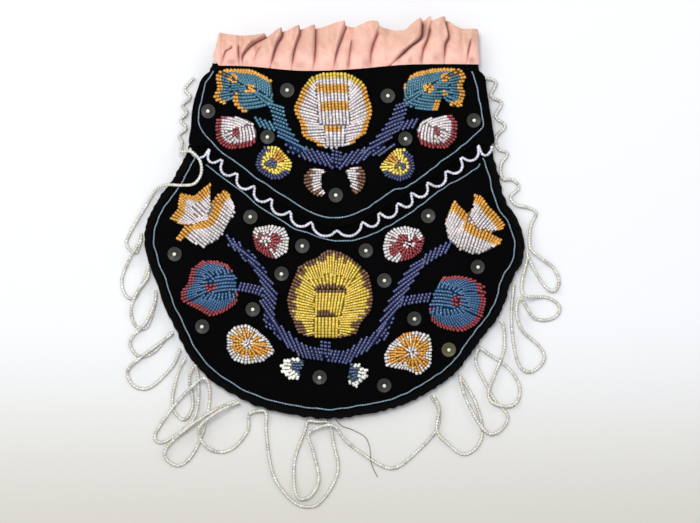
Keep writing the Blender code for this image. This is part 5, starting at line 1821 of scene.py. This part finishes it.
class BAG_OT_stage(bpy.types.Operator):
    """Make the table, the lamps and the camera"""

    bl_idname = "beaded_bag.stage"
    bl_label = "Stage"

    def execute(self, context):
        make_stage()
        return {"FINISHED"}


class BAG_OT_fringe(bpy.types.Operator):
    """Hang the beaded fringe and the loose thread"""

    bl_idname = "beaded_bag.fringe"
    bl_label = "Fringe"

    def execute(self, context):
        make_fringe()
        make_thread()
        return {"FINISHED"}


class BAG_OT_velvet(bpy.types.Operator):
    """Cut the velvet front, back and flap"""

    bl_idname = "beaded_bag.velvet"
    bl_label = "Velvet"

    def execute(self, context):
        make_velvet()
        return {"FINISHED"}


class BAG_OT_linings(bpy.types.Operator):
    """Line the pouch"""

    bl_idname = "beaded_bag.linings"
    bl_label = "Linings"

    def execute(self, context):
        make_linings()
        return {"FINISHED"}


class BAG_OT_binding(bpy.types.Operator):
    """Bind the seam with tape"""

    bl_idname = "beaded_bag.binding"
    bl_label = "Edge binding"

    def execute(self, context):
        make_binding()
        return {"FINISHED"}


class BAG_OT_ribbons(bpy.types.Operator):
    """Gather the silk at the mouth"""

    bl_idname = "beaded_bag.ribbons"
    bl_label = "Ribbons"

    def execute(self, context):
        make_ribbons()
        return {"FINISHED"}


class BAG_OT_lines(bpy.types.Operator):
    """Sew the thin lines and the scalloped edging"""

    bl_idname = "beaded_bag.lines"
    bl_label = "Lines and edging"

    def execute(self, context):
        make_lines()
        make_scallops()
        return {"FINISHED"}


class BAG_OT_motifs(bpy.types.Operator):
    """Sew the raised motifs"""

    bl_idname = "beaded_bag.motifs"
    bl_label = "Motifs"

    def execute(self, context):
        make_motifs()
        return {"FINISHED"}


class BAG_OT_stems(bpy.types.Operator):
    """Sew the stems"""

    bl_idname = "beaded_bag.stems"
    bl_label = "Stems"

    def execute(self, context):
        make_stem("flap_stem", FLAP_STEM)
        make_stem("panel_stem", PANEL_STEM)
        return {"FINISHED"}


class BAG_OT_sequins(bpy.types.Operator):
    """Sew the sequins"""

    bl_idname = "beaded_bag.sequins"
    bl_label = "Sequins"

    def execute(self, context):
        make_sequins()
        return {"FINISHED"}


OPERATORS = [
    BAG_OT_stage, BAG_OT_fringe, BAG_OT_velvet, BAG_OT_linings, BAG_OT_binding, BAG_OT_ribbons,
    BAG_OT_lines, BAG_OT_motifs, BAG_OT_stems, BAG_OT_sequins,
]
GROUPS = {"bag_beads": BagBeads, "bag_colours": BagColours, "bag_cloth": BagCloth, "bag_stage": BagStage}


class BAG_PT_sidebar(bpy.types.Panel):
    """The bag's steps and sizes in the 3D view's sidebar"""

    bl_idname = "BAG_PT_sidebar"
    bl_label = "Beaded bag"
    bl_space_type = "VIEW_3D"
    bl_region_type = "UI"
    bl_category = "Beaded bag"

    def draw(self, context):
        for operator in OPERATORS:
            self.layout.operator(operator.bl_idname)
        for name, group in GROUPS.items():
            box = self.layout.box()
            for key in group.__annotations__:
                box.prop(getattr(context.scene, name), key)


def register():
    for made in [*GROUPS.values(), *OPERATORS, BAG_PT_sidebar]:
        bpy.utils.register_class(made)
    for name, group in GROUPS.items():
        setattr(bpy.types.Scene, name, bpy.props.PointerProperty(type=group))


def unregister():
    for name in GROUPS:
        delattr(bpy.types.Scene, name)
    for made in [BAG_PT_sidebar, *reversed(OPERATORS), *GROUPS.values()]:
        bpy.utils.unregister_class(made)


def main():
    """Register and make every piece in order."""
    register()
    for operator in OPERATORS:
        group, name = operator.bl_idname.split(".")
        getattr(getattr(bpy.ops, group), name)()


if __name__ == "__main__":
    main()
